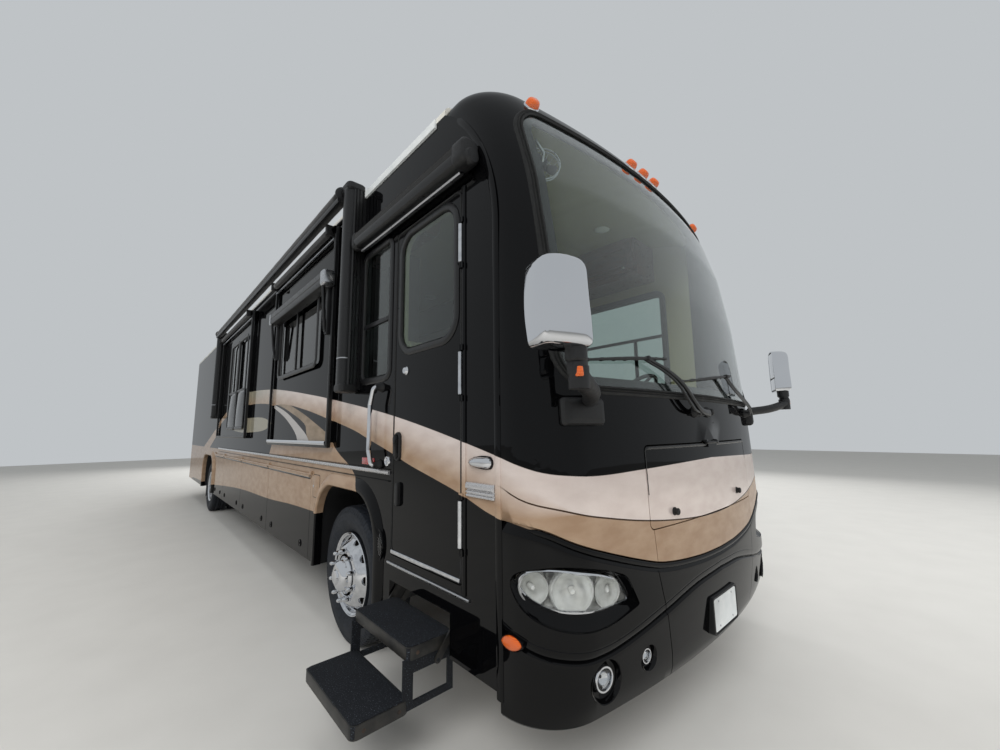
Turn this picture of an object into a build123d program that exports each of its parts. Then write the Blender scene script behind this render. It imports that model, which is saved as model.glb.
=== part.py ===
import os
from math import cos, radians, sin, sqrt

from build123d import *

# Large rear-engined motorhome, in millimetres.
# The origin is on the ground under the middle of the front axle, +X forward, +Y left, +Z up.

# Body shell
body_width = 2570
wall = 40  # side walls, doors and cap shells
skirt_z = 425  # lower edge of the side panels
wall_top_z = 3370
roof_thickness = 70
floor_thickness = 50
floor_bottom_z = 1150  # also the top of the luggage bays
rear_x = -10400
rear_seam_x = -10250  # side walls meet the rear cap
front_seam_x = 1715  # side walls meet the front cap
roof_front_x = 1280  # roof meets the front cap
seam_curve_z = 2500  # the front seam starts to lean back here
seam = 0.5  # between fixed panels that meet along a curve
seat = 0.3  # between a piece at rest and what carries it
door_gap = 8  # between neighbouring doors
swing_gap = 6  # between a moving piece and the fixed body

half_width = body_width / 2
inner_half = half_width - wall
floor_z = floor_bottom_z + floor_thickness
roof_z = wall_top_z + roof_thickness
edge_gap = door_gap / 2

# Running gear
wheelbase = 7000
tyre_radius = 478.5
tyre_width = 275
wheel_inset = 182.5  # wheel centres of the front and outer rear wheels, in from the body's side
twin_spacing = 310
rim_radius = 286  # bead seat
rim_wall = 10
rim_flange = 12
rim_width = 230
spindle_radius = 40
bore_clearance = 0.3
kingpin_inset = 172.5  # from the wheel's centre to the kingpin
steer_disc_out = 150  # front disc stands this far outside the wheel's middle
nut_circle = 167.5
nut_radius = 17
nut_length = 58
nut_count = 10
wheel_centre_y = half_width - wheel_inset
kingpin_y = wheel_centre_y - kingpin_inset

# Wheel arches: x centre, half width, top z, corner radius
arch_table = (
    (0, 565, 1110, 330),
    (-wheelbase, 690, 1110, 330),
)

# Engine
engine_x = (-10050, -9000)
engine_z = (560, 1140)

# Chassis
rail_inner_y = 392
rail_width = 76
rail_height = 260
rail_front_x = 1850
rail_rear_x = -10200
front_member_x = (1780, 620, -690)
axle_member_reach = (710, -720)  # members ahead of and behind the drive axle
engine_member_gap = 100
cross_member_size = (80, 120)
bag_radius = 105
rail_outer_y = rail_inner_y + rail_width
rail_middle_y = rail_inner_y + rail_width / 2
rail_bottom_z = floor_bottom_z - rail_height

# Rear hitch receiver
receiver_size = 76
receiver_bore = 51
receiver_rear_x = -10430
receiver_z = 380
receiver_beam_x = (-10240, -10140)
receiver_pin_x = -10385
receiver_pin_radius = 8

# Luggage bays between the wheel arches; the last door takes what the others leave
bay_front_gap = 205  # from the front arch to the first door
bay_rear_gap = 90
bay_door_lengths = (1480, 1520, 1460)
bay_seam_x = [arch_table[0][0] - arch_table[0][1] - bay_front_gap]
for door_length in bay_door_lengths:
    bay_seam_x.append(bay_seam_x[-1] - door_length)
bay_seam_x.append(arch_table[1][0] + arch_table[1][1] + bay_rear_gap)
bay_tray_z = 440
bay_sheet = 25
bulkhead = 30
bay_side_gap = 6  # between the doors' inner faces and the bays

# Outside hinges
hinge_radius = 9
hinge_out = 12  # axis stands this far off the panel
hinge_end = 30  # fixed knuckle at each end of a door
hinge_leaf = 24
hinge_drop = 4  # axis below the upper panel's edge

# Entry door and its window
door_x = (735, 1450)
door_z = (781, 2820)
door_window_x = (800, 1400)
door_window_z = (2000, 2775)
door_window_corner = 130
door_knuckle_z = ((948, 1178), (1687, 1917), (2388, 2612))

# Entry step well and folding steps. Places across the body start from its right side.
well_sheet = 20
well_bottom_z = 745
well_low_y = -half_width + 435
well_high_y = -half_width + 685
well_mid_z = 945
step_x = (750, 1330)
step_cut_z = 630
upper_tread_y = (-half_width - 215, -half_width + 35)
upper_tread_z = 530
lower_tread_y = (-half_width - 465, -half_width - 205)
lower_tread_z = 320
tread_thickness = 45
step_side = 12
link_length = 320
link_angle = 40  # outward from straight down
link_width = 34
link_thickness = 10
link_gap = 6
link_pivots = ((-half_width + 265, 710), (-half_width + 145, 685))  # y, z of the inner and outer links
link_pin_radius = 8
bracket_thickness = 10

# Rooms that slide out: name, side, rear x, front x, bottom z
rear_room_gap = 1050  # from the drive axle to the rear rooms
rear_room_x = -wheelbase + rear_room_gap
room_table = (
    ("right_front_room", "right", -2200, -280, 1390),
    ("right_rear_room", "right", rear_room_x, -3500, 1450),
    ("left_room", "left", rear_room_x, -280, 1390),
)
# Their windows: room, rear x, front x, bottom z, top z
room_window_table = (
    ("right_front_room", -1900, -650, 2120, 2840),
    ("right_rear_room", -4930, -4330, 2160, 2960),
    ("right_rear_room", -4280, -3680, 2160, 2960),
    ("left_room", -1900, -650, 2120, 2840),
    ("left_room", -4930, -3680, 2160, 2900),
)
room_top_z = 3285
room_flange = 25
room_lap = 35  # the flange covers the wall's edge by this
room_panel = 30
room_depth = 800
room_wall_gap = 8
window_corner = 60
topper_radius = 34

# Windows in the fixed walls: side, rear x, front x, bottom z, top z
wall_window_table = (
    ("right", 230, 660, 1870, 2830),
    ("left", 150, 1330, 1860, 2830),
)
glass = 8

# Front cap: z, front x at the middle, half width, drop of the inner surface
cap_table = (
    (330, 2095, half_width, 0),
    (430, 2135, half_width, 0),
    (650, 2156, half_width, 0),
    (1200, 2149, half_width, 0),
    (1800, 2122, half_width, 0),
    (2300, 2080, half_width, 0),
    (2750, 2010, half_width, 6),
    (3080, 1917, half_width, 12),
    (3270, 1830, half_width, 20),
    (3385, 1735, half_width - 15, 30),
    (3445, 1620, half_width - 70, wall),
    (3475, 1500, half_width - 150, wall),
)
cap_bow_radius = 5750  # plan curve of the nose
cap_corner_radius = 290
windshield_half_width = 1165
windshield_z = (1690, 3205)
windshield_corner = 170
hatch_half_width = 690
hatch_z = (1045, 1425)
hatch_corner = 25
hatch_knuckle_y = 60
fog_lamps = ((1011, 520), (770, 510))  # y, z
fog_lamp_radius = 42
head_lamp_turn = 38  # the lamp faces this far outward
head_lamp_height_z = 840
# Its outline, inboard and up from its middle
head_lamp_outline = (
    (-205, 30),
    (-150, 115),
    (20, 130),
    (320, 50),
    (376, -90),
    (200, -133),
    (-60, -110),
)
head_lamp_corner = 32
docking_lamp = (580, 800)  # x, z
docking_lamp_radius = 62
marker_lamp_table = ((0, 3270), (155, 3270), (-155, 3270), (1033, 3262), (-1033, 3262))
marker_lamp_size = (60, 75, 34)

# Rear cap
rear_corner_radius = 140
engine_door_half_width = 620
engine_door_z = (560, 1420)
tail_lamp_y = (1010, 1130)
tail_lamp_z = (1250, 1700)
lamp_depth = 15
side_marker_x = (1735, 1850)
side_marker_z = (622, 678)
door_handle_z = (1360, 1480)

# Hand holes of the rims
hand_hole_circle = 238
hand_hole_radius = 19

# Axles: kingpin bosses, beams and air bags
kingpin_boss = 45
kingpin_radius = 18
boss_z = (400, 557)
ear = 28
beam_half = 50
beam_z = (420, 520)
axle_tube_radius = 80
axle_housing_radius = 215
bag_reach = 530

# Cab
dash_half = 1000
dash_x = (1480, 1960)
dash_z = (1400, 1690)
dash_slope = 90
steering_centre = (1330, 620, 1800)
steering_radius = 220
steering_rim = 15
seat_places = ((840, 620), (270, -640))
seat_size = 540
seat_z = 1520
seat_back_z = 2330
cushion = 130

# Mirrors, right side. Places across the body start from its right side.
mirror_base = ((1940, 2095), (-half_width + 115, -half_width + 325), (1540, 1640))
mirror_out = -half_width - 135
mirror_arm = (
    (2070, -half_width + 225, 1590),
    (2185, mirror_out + 50, 1625),
    (2205, mirror_out, 1690),
    (2205, mirror_out, 1900),
)
mirror_arm_radius = 19
mirror_head_centre = (2200, mirror_out, 1975)
mirror_head_size = (115, 285, 325)
mirror_head_turn = 22

# Wipers
wiper_pivot_y = (-20, 900)
wiper_pivot_z = 1610
wiper_boss_radius = 20
wiper_reach = 640
wiper_blade_z = 1850
wiper_blade_half = 300
wiper_bar = 8
wiper_stand = 26

# Grab handle
handle_points = (
    (565, -half_width, 1805),
    (565, -half_width - 60, 1805),
    (520, -half_width - 62, 1690),
    (518, -half_width - 62, 1390),
    (556, -half_width - 60, 1298),
    (556, -half_width, 1298),
)
handle_radius = 15
handle_bend = 24

# Awnings
awning_arm_x = (-6080, 130)
awning_arm_width = 140
awning_arm_z = (1800, 3440)
awning_depth = 195
awning_roller_radius = 58
awning_roller_out = 125
door_awning_x = (215, 1600)
door_awning_z = (2868, 2998)
door_awning_depth = 115

# Roof air conditioners
air_unit_x = (-1600, -6200)
air_unit_size = (1050, 720, 350)


def middle(span):
    return (span[0] + span[1]) / 2


def size(span):
    return abs(span[1] - span[0])


def block(x, y, z, mode=Mode.ADD):
    # Each of x, y and z is a pair of limits.
    with Locations((middle(x), middle(y), middle(z))):
        Box(size(x), size(y), size(z), mode=mode)


def rod(start, end, radius, mode=Mode.ADD):
    # A round bar from point to point.
    start = Vector(*start)
    end = Vector(*end)
    with Locations(Plane(origin=(start + end) / 2, z_dir=end - start)):
        Cylinder(radius, (end - start).length, mode=mode)


def on_left(part):
    return mirror(part, about=Plane.XZ)


def save(part, name):
    part.label = name
    export_step(part, "parts/" + name + ".step")


def side_prism(x, z, corner, depth, mode=Mode.SUBTRACT):
    # A rounded opening through the right wall, as deep as depth from its outer face.
    with BuildSketch(Plane.XZ.offset(half_width - depth)) as outline:
        with Locations((middle(x), middle(z))):
            RectangleRounded(size(x), size(z), corner)
    extrude(outline.sketch, amount=depth + room_flange + wall, mode=mode)


def grow(span, amount):
    return (min(span) - amount, max(span) + amount)


def both(span):
    return (-span, span)


# Side walls
def side_wall(side):
    with BuildPart() as panel:
        with BuildSketch(Plane.XZ.offset(inner_half)):
            with BuildLine():
                Polyline(
                    (roof_front_x, wall_top_z),
                    (rear_seam_x, wall_top_z),
                    (rear_seam_x, skirt_z),
                    (front_seam_x, skirt_z),
                    (front_seam_x, seam_curve_z),
                )
                TangentArc((front_seam_x, seam_curve_z), (roof_front_x, wall_top_z), tangent=(0, 1))
            make_face()
        extrude(amount=wall)
        for arch_x, arch_half, arch_top, arch_corner in arch_table:
            side_prism((arch_x - arch_half, arch_x + arch_half), (-arch_corner, arch_top), arch_corner, wall)
        bay_cut_x = (bay_seam_x[-1] - swing_gap + edge_gap, bay_seam_x[0] + swing_gap - edge_gap)
        block(bay_cut_x, (-half_width - wall, -inner_half + wall), (0, floor_bottom_z), Mode.SUBTRACT)
        for room, room_side, rear, front, bottom in room_table:
            if room_side == side:
                inset = room_lap - room_wall_gap
                opening_x = (rear + inset, front - inset)
                opening_z = (bottom + inset, room_top_z - inset)
                block(opening_x, (-half_width - wall, -inner_half + wall), opening_z, Mode.SUBTRACT)
        for window_side, rear, front, bottom, top in wall_window_table:
            if window_side == side:
                side_prism((rear, front), (bottom, top), window_corner, wall)
        if side == "right":
            side_prism(grow(door_x, swing_gap), grow(door_z, swing_gap), window_corner / 2, wall)
            step_cut_x = grow(step_x, link_gap + link_thickness + swing_gap)
            block(step_cut_x, (-half_width - wall, -inner_half + wall), (0, step_cut_z), Mode.SUBTRACT)
        # Fixed knuckles of the luggage doors' hinge line
        axis_y = -half_width - hinge_out
        axis_z = floor_bottom_z - hinge_drop
        for seam_x in bay_seam_x:
            reach = (seam_x - hinge_end, seam_x + hinge_end)
            rod((reach[0], axis_y, axis_z), (reach[1], axis_y, axis_z), hinge_radius)
            block(reach, (axis_y, -half_width + wall / 2), (floor_bottom_z, floor_bottom_z + hinge_leaf))
            block(reach, (axis_y - hinge_radius / 2, axis_y), (axis_z, floor_bottom_z + hinge_leaf / 2))
        if side == "right":
            # Fixed knuckles of the entry door, above and below each of its own
            for low, high in door_knuckle_z:
                for bottom, top in ((low - hinge_end, low - seat), (high + seat, high + hinge_end)):
                    rod((door_axis_x, axis_y, bottom), (door_axis_x, axis_y, top), hinge_radius)
                    leaf_x = (door_x[1] + swing_gap, door_x[1] + hinge_leaf)
                    block(leaf_x, (axis_y, -half_width + wall / 2), (bottom, top))
                    block((door_axis_x, leaf_x[1]), (axis_y - hinge_radius / 2, axis_y), (bottom, top))
    return panel.part


door_axis_x = door_x[1] + swing_gap - hinge_drop

right_wall = side_wall("right")
left_wall = on_left(side_wall("left"))
save(right_wall, "right_wall")
save(left_wall, "left_wall")

# Windows in the fixed walls
with BuildPart() as side_windows:
    for window_side, rear, front, bottom, top in wall_window_table:
        outer = half_width - glass / 2
        with BuildSketch(Plane.XZ.offset(outer - glass if window_side == "right" else -outer)):
            with Locations(((rear + front) / 2, (bottom + top) / 2)):
                RectangleRounded(front - rear - 2 * seat, top - bottom - 2 * seat, window_corner - seat)
        extrude(amount=glass)
save(side_windows.part, "side_windows")

# Roof
with BuildPart() as roof:
    block((rear_seam_x, roof_front_x), both(half_width), (wall_top_z, roof_z))
    fillet(roof.edges().filter_by(Axis.X).group_by(Axis.Z)[-1], roof_thickness * 0.7)
save(roof.part, "roof")

# Floor with the entry step well and the brackets of the folding steps
well_x = (door_x[0] - 2 * well_sheet + 10, door_x[1] + 2 * well_sheet - 10)
well_outer_y = -inner_half + seam
bracket_y = grow([pivot_y for pivot_y, pivot_z in link_pivots], link_width / 2 + 3)
bracket_low_z = link_pivots[1][1] - link_width / 2
link_x = (
    (step_x[0] - link_gap - link_thickness, step_x[0] - link_gap),
    (step_x[1] + link_gap, step_x[1] + link_gap + link_thickness),
)
bracket_x = (
    (link_x[0][0] - 2 * link_gap - bracket_thickness, link_x[0][0] - 2 * link_gap),
    (link_x[1][1] + 2 * link_gap, link_x[1][1] + 2 * link_gap + bracket_thickness),
)
cab_floor_x = 2000
cab_floor_half = 900
with BuildPart() as floor:
    block((rear_seam_x, front_seam_x - seam), both(inner_half - seam), (floor_bottom_z, floor_z))
    block((front_seam_x - wall, cab_floor_x), both(cab_floor_half), (floor_bottom_z, floor_z))
    block(well_x, (well_outer_y, well_high_y), (floor_bottom_z, floor_z), Mode.SUBTRACT)
    block(well_x, (well_outer_y, well_low_y), (well_bottom_z, well_bottom_z + well_sheet))
    block(well_x, (well_low_y - well_sheet, well_low_y), (well_bottom_z, well_mid_z + well_sheet))
    block(well_x, (well_low_y - well_sheet, well_high_y), (well_mid_z, well_mid_z + well_sheet))
    block(well_x, (well_high_y - well_sheet, well_high_y), (well_mid_z, floor_z))
    for side_x in ((well_x[0], well_x[0] + well_sheet), (well_x[1] - well_sheet, well_x[1])):
        block(side_x, (well_outer_y, well_low_y), (well_bottom_z, floor_z))
        block(side_x, (well_low_y - well_sheet, well_high_y), (well_mid_z, floor_z))
    for plate_x, pin_x in zip(bracket_x, (link_x[0][1] + 2, link_x[1][0] - 2)):
        block(plate_x, bracket_y, (bracket_low_z, well_bottom_z))
        for pivot_y, pivot_z in link_pivots:
            rod((middle(plate_x), pivot_y, pivot_z), (pin_x, pivot_y, pivot_z), link_pin_radius)
save(floor.part, "floor")

# Luggage bays: one tray with bulkheads that hang from the floor, notched for the chassis rails
bay_half = inner_half - bay_side_gap
with BuildPart() as storage_bays:
    tray_x = (bay_seam_x[-1] - bulkhead / 2, bay_seam_x[0] + bulkhead / 2)
    block(tray_x, both(bay_half), (bay_tray_z, bay_tray_z + bay_sheet))
    for seam_x in bay_seam_x:
        block((seam_x - bulkhead / 2, seam_x + bulkhead / 2), both(bay_half), (bay_tray_z, floor_bottom_z))
    for rail_y in (rail_middle_y, -rail_middle_y):
        notch_half = rail_width / 2 + 2 * swing_gap
        notch_z = (rail_bottom_z - 2 * swing_gap, floor_bottom_z)
        block(grow(tray_x, wall), (rail_y - notch_half, rail_y + notch_half), notch_z, Mode.SUBTRACT)
save(storage_bays.part, "storage_bays")

# Chassis rails, cross members and the hitch receiver
with BuildPart() as chassis_frame:
    for sign in (1, -1):
        rail_y = (sign * rail_inner_y, sign * rail_outer_y)
        block((rail_rear_x, rail_front_x), rail_y, (rail_bottom_z, floor_bottom_z))
        block((rail_rear_x, receiver_beam_x[1]), rail_y, (receiver_z, rail_bottom_z))
    member_z = middle((rail_bottom_z, floor_bottom_z))
    axle_members = [reach - wheelbase for reach in axle_member_reach]
    for member_x in (*front_member_x, *axle_members, engine_x[1] + engine_member_gap):
        member_half = cross_member_size[0] / 2
        member_reach = both(rail_inner_y + rail_width / 2)
        member_height = (member_z - cross_member_size[1] / 2, member_z + cross_member_size[1] / 2)
        block((member_x - member_half, member_x + member_half), member_reach, member_height)
    receiver_half = receiver_size / 2
    receiver_height = (receiver_z - receiver_half, receiver_z + receiver_half)
    block(receiver_beam_x, both(rail_outer_y), receiver_height)
    block((receiver_rear_x, receiver_beam_x[0]), both(receiver_half), receiver_height)
    bore_half = receiver_bore / 2
    bore_height = (receiver_z - bore_half, receiver_z + bore_half)
    block((receiver_rear_x, receiver_beam_x[0]), both(bore_half), bore_height, Mode.SUBTRACT)
    pin_start = (receiver_pin_x, -receiver_size, receiver_z)
    pin_end = (receiver_pin_x, receiver_size, receiver_z)
    rod(pin_start, pin_end, receiver_pin_radius, Mode.SUBTRACT)
save(chassis_frame.part, "chassis_frame")


# Front cap
def nose_x(z):
    # Front x at the middle for a height, straight between the table's rows.
    for low, high in zip(cap_table, cap_table[1:]):
        if z <= high[0]:
            share = (z - low[0]) / (high[0] - low[0])
            return low[1] + share * (high[1] - low[1])
    return cap_table[-1][1]


def cap_face_x(y, z):
    return nose_x(z) - cap_bow_radius + sqrt(cap_bow_radius**2 - y**2)


def cap_outline(z, front, half, inset=0):
    # Plan outline: straight sides, round corners and a bowed nose, all tangent.
    depth = front - roof_front_x - half**2 / (2 * cap_bow_radius)
    corner = min(cap_corner_radius, depth * 0.85) - inset
    bow = cap_bow_radius - inset
    bow_x = front - inset - bow
    side = half - inset
    reach = bow - corner
    corner_x = bow_x + sqrt(reach**2 - (side - corner) ** 2)
    touch_x = bow_x + (corner_x - bow_x) * bow / reach
    touch_y = (side - corner) * bow / reach
    back = roof_front_x - inset
    with BuildSketch(Plane.XY.offset(z)) as outline:
        with BuildLine():
            Line((back, side), (back, -side))
            Line((back, -side), (corner_x, -side))
            TangentArc((corner_x, -side), (touch_x, -touch_y), tangent=(1, 0))
            ThreePointArc((touch_x, -touch_y), (front - inset, 0), (touch_x, touch_y))
            TangentArc((corner_x, side), (touch_x, touch_y), tangent=(1, 0))
            Line((corner_x, side), (back, side))
        make_face()
    return outline.sketch


with BuildPart() as cap_solid:
    loft([cap_outline(z, front, half) for z, front, half, drop in cap_table])

with BuildPart() as cap_hollow:
    inner_sections = []
    for z, front, half, drop in cap_table:
        low = wall if z == cap_table[0][0] else drop
        inner_sections.append(cap_outline(z - low, front, half, wall))
    loft(inner_sections)

with BuildPart() as cap_shell:
    add(cap_solid.part)
    add(cap_hollow.part, mode=Mode.SUBTRACT)


def front_prism(half, z, corner, clearance, mode):
    # A rounded outline seen from straight ahead, smaller all round by the clearance.
    with BuildSketch(Plane.YZ.offset(roof_front_x + 2 * wall)) as outline:
        with Locations((0, middle(z))):
            width = 2 * (half - clearance)
            RectangleRounded(width, size(z) - 2 * clearance, corner - clearance)
    extrude(outline.sketch, amount=rail_front_x, mode=mode)


def lamp_tools(clearance):
    # Head lamps, seen along a line turned outward, and round fog lamps.
    turn = radians(head_lamp_turn)
    facing = Plane(
        origin=(roof_front_x, -half_width / 2, head_lamp_height_z),
        x_dir=(sin(turn), cos(turn), 0),
        z_dir=(cos(turn), -sin(turn), 0),
    )
    with BuildPart() as tools:
        with BuildSketch(facing):
            with BuildLine():
                Polyline(*head_lamp_outline, close=True)
            make_face()
            fillet(vertices(), head_lamp_corner)
            if clearance:
                offset(amount=-clearance)
        extrude(amount=body_width)
        for fog_y, fog_z in fog_lamps:
            rod((front_seam_x, -fog_y, fog_z), (body_width, -fog_y, fog_z), fog_lamp_radius - clearance)
        mirror(about=Plane.XZ)
    return tools.part


def fixed_knuckles(face_x, out, lid_top, half):
    # Ends of a lid's hinge across the body, on the panel above the lid.
    axis_x = face_x + out * hinge_out
    edge_z = lid_top + swing_gap
    axis_z = edge_z - hinge_drop
    for sign in (1, -1):
        reach = (sign * (half + seat), sign * (half + hinge_end))
        rod((axis_x, reach[0], axis_z), (axis_x, reach[1], axis_z), hinge_radius)
        leaf_x = (face_x - out * wall / 2, axis_x + out * hinge_radius / 2)
        block(leaf_x, reach, (edge_z, edge_z + hinge_leaf / 2))


def lid_knuckle(face_x, out, lid_top, half):
    axis_x = face_x + out * hinge_out
    axis_z = lid_top + swing_gap - hinge_drop
    rod((axis_x, -half, axis_z), (axis_x, half, axis_z), hinge_radius)
    leaf_x = (face_x - out * wall / 2, axis_x + out * hinge_radius / 2)
    block(leaf_x, both(half), (lid_top - hinge_leaf, lid_top))


hatch_face_x = cap_face_x(0, hatch_z[1])
with BuildPart() as front_cap:
    add(cap_shell.part)
    with BuildSketch(Plane.XZ.offset(-body_width)):
        # The side walls' own region, with the seam
        edge_x = front_seam_x + seam
        with BuildLine():
            Polyline(
                (roof_front_x + seam, wall_top_z + seam),
                (0, wall_top_z + seam),
                (0, 0),
                (edge_x, 0),
                (edge_x, seam_curve_z),
            )
            TangentArc((edge_x, seam_curve_z), (roof_front_x + seam, wall_top_z + seam), tangent=(0, 1))
        make_face()
    extrude(amount=2 * body_width, mode=Mode.SUBTRACT)
    front_prism(windshield_half_width, windshield_z, windshield_corner, 0, Mode.SUBTRACT)
    front_prism(hatch_half_width, hatch_z, hatch_corner, -swing_gap, Mode.SUBTRACT)
    add(lamp_tools(0), mode=Mode.SUBTRACT)
    fixed_knuckles(hatch_face_x, 1, hatch_z[1], hatch_knuckle_y)
save(front_cap.part, "front_cap")

with BuildPart() as windshield:
    add(cap_shell.part)
    front_prism(windshield_half_width, windshield_z, windshield_corner, seat, Mode.INTERSECT)
save(windshield.part, "windshield")

with BuildPart() as front_hatch:
    add(cap_shell.part)
    front_prism(hatch_half_width, hatch_z, hatch_corner, 0, Mode.INTERSECT)
    lid_knuckle(hatch_face_x, 1, hatch_z[1], hatch_knuckle_y)
save(front_hatch.part, "front_hatch")

# Lamps of the front, with a round docking lamp on each side wall
with BuildPart() as front_lamps:
    add(cap_shell.part)
    add(lamp_tools(seat), mode=Mode.INTERSECT)
    for sign in (1, -1):
        lamp_start = (docking_lamp[0], sign * half_width, docking_lamp[1])
        lamp_end = (docking_lamp[0], sign * (half_width + lamp_depth), docking_lamp[1])
        rod(lamp_start, lamp_end, docking_lamp_radius)
save(front_lamps.part, "front_lamps")

with BuildPart() as marker_lamps:
    for lamp_y, lamp_z in marker_lamp_table:
        lamp_x = cap_face_x(abs(lamp_y), lamp_z)
        if abs(lamp_y) > half_width - cap_corner_radius:
            lamp_x = lamp_x - lamp_depth
        spans = [(c - s / 2, c + s / 2) for c, s in zip((lamp_x, lamp_y, lamp_z), marker_lamp_size)]
        block(*spans)
    for sign in (1, -1):
        side_y = (sign * (half_width - lamp_depth), sign * (half_width + lamp_depth / 2))
        block(side_marker_x, side_y, side_marker_z)
    add(cap_solid.part, mode=Mode.SUBTRACT)
save(marker_lamps.part, "marker_lamps")

# Rear cap with its engine door and lamps
with BuildPart() as rear_cap:
    with BuildSketch(Plane.XY.offset(skirt_z)):
        with Locations((rear_x + body_width / 2, 0)):
            RectangleRounded(body_width, body_width, rear_corner_radius)
    extrude(amount=roof_z - skirt_z)
    fillet(rear_cap.edges().group_by(Axis.Z)[-1], roof_thickness * 0.7)
    with BuildSketch(Plane.XY.offset(skirt_z)):
        with Locations((rear_x + body_width / 2, 0)):
            inner_width = body_width - 2 * wall
            RectangleRounded(inner_width, inner_width, rear_corner_radius - wall)
    extrude(amount=wall_top_z - skirt_z, mode=Mode.SUBTRACT)
    block((rear_seam_x, front_seam_x), both(body_width), (0, 2 * roof_z), Mode.SUBTRACT)
    door_cut_y = both(engine_door_half_width + swing_gap)
    block((rear_x - wall, rear_x + 2 * wall), door_cut_y, grow(engine_door_z, swing_gap), Mode.SUBTRACT)
    fixed_knuckles(rear_x, -1, engine_door_z[1], engine_door_half_width - hinge_end)
save(rear_cap.part, "rear_cap")

with BuildPart() as engine_door:
    block((rear_x, rear_x + wall), both(engine_door_half_width), engine_door_z)
    lid_knuckle(rear_x, -1, engine_door_z[1], engine_door_half_width - hinge_end)
save(engine_door.part, "engine_door")

with BuildPart() as tail_lamps:
    for sign in (1, -1):
        lamp_span = (sign * tail_lamp_y[0], sign * tail_lamp_y[1])
        block((rear_x - lamp_depth, rear_x), lamp_span, tail_lamp_z)
save(tail_lamps.part, "tail_lamps")


# Luggage doors, hinged along their top edges
def luggage_door(front, rear):
    top = floor_bottom_z - swing_gap
    with BuildPart() as panel:
        span = (rear + edge_gap, front - edge_gap)
        block(span, (-half_width, -inner_half), (skirt_z, top))
        reach = (rear + hinge_end + seat, front - hinge_end - seat)
        axis_y = -half_width - hinge_out
        axis_z = floor_bottom_z - hinge_drop
        rod((reach[0], axis_y, axis_z), (reach[1], axis_y, axis_z), hinge_radius)
        leaf_y = (axis_y - hinge_radius / 2, -half_width + wall / 2)
        block(reach, leaf_y, (top - hinge_leaf, top))
    return panel.part


for number, (front, rear) in enumerate(zip(bay_seam_x, bay_seam_x[1:]), start=1):
    door_solid = luggage_door(front, rear)
    save(door_solid, "right_luggage_door_" + str(number))
    save(on_left(door_solid), "left_luggage_door_" + str(number))

# Entry door
door_axis_y = -half_width - hinge_out
with BuildPart() as entry_door:
    with BuildSketch(Plane.XZ.offset(inner_half)):
        with Locations((middle(door_x), middle(door_z))):
            RectangleRounded(size(door_x), size(door_z), window_corner / 2 - swing_gap)
    extrude(amount=wall)
    side_prism(door_window_x, door_window_z, door_window_corner, wall)
    for low, high in door_knuckle_z:
        rod((door_axis_x, door_axis_y, low), (door_axis_x, door_axis_y, high), hinge_radius)
        leaf_y = (door_axis_y - hinge_radius / 2, -half_width + wall / 2)
        block((door_x[1] - hinge_leaf, door_x[1]), leaf_y, (low, high))
    # Pull handle
    handle_x = (door_x[0] + 2 * hinge_leaf, door_x[0] + 4 * hinge_leaf)
    block(handle_x, (-half_width - lamp_depth, -half_width), door_handle_z)
save(entry_door.part, "entry_door")

with BuildPart() as entry_door_window:
    with BuildSketch(Plane.XZ.offset(half_width - glass * 1.5)):
        with Locations((middle(door_window_x), middle(door_window_z))):
            window_width = size(door_window_x) - 2 * seat
            RectangleRounded(window_width, size(door_window_z) - 2 * seat, door_window_corner - seat)
    extrude(amount=glass)
save(entry_door_window.part, "entry_door_window")


# Rooms that slide out, open towards the aisle
def slide_room(name, side, rear, front, bottom):
    outer_y = -half_width - seat
    box_x = (rear + room_lap, front - room_lap)
    box_z = (bottom + room_lap, room_top_z - room_lap)
    with BuildPart() as room:
        block((rear, front), (outer_y - room_flange, outer_y), (bottom, room_top_z))
        block(box_x, (outer_y, outer_y + room_depth), box_z)
        hollow_x = (box_x[0] + room_panel, box_x[1] - room_panel)
        hollow_z = (box_z[0] + room_panel, box_z[1] - room_panel)
        block(hollow_x, (outer_y + lamp_depth, outer_y + 2 * room_depth), hollow_z, Mode.SUBTRACT)
        roller_y = outer_y - room_flange - topper_radius * 0.8
        roller_z = room_top_z - topper_radius
        rod((rear, roller_y, roller_z), (front, roller_y, roller_z), topper_radius)
        for window_room, window_rear, window_front, low, high in room_window_table:
            if window_room == name:
                side_prism((window_rear, window_front), (low, high), window_corner, wall)
    return room.part


def room_windows(name):
    outer_y = half_width + seat + room_flange
    with BuildPart() as panes:
        for window_room, window_rear, window_front, low, high in room_window_table:
            if window_room == name:
                with BuildSketch(Plane.XZ.offset(outer_y - glass * 1.5)):
                    with Locations(((window_rear + window_front) / 2, (low + high) / 2)):
                        pane_x = window_front - window_rear - 2 * seat
                        RectangleRounded(pane_x, high - low - 2 * seat, window_corner - seat)
                extrude(amount=glass)
    return panes.part


for name, side, rear, front, bottom in room_table:
    room_solid = slide_room(name, side, rear, front, bottom)
    pane_solid = room_windows(name)
    save(room_solid if side == "right" else on_left(room_solid), name)
    save(pane_solid if side == "right" else on_left(pane_solid), name + "_windows")

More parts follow.
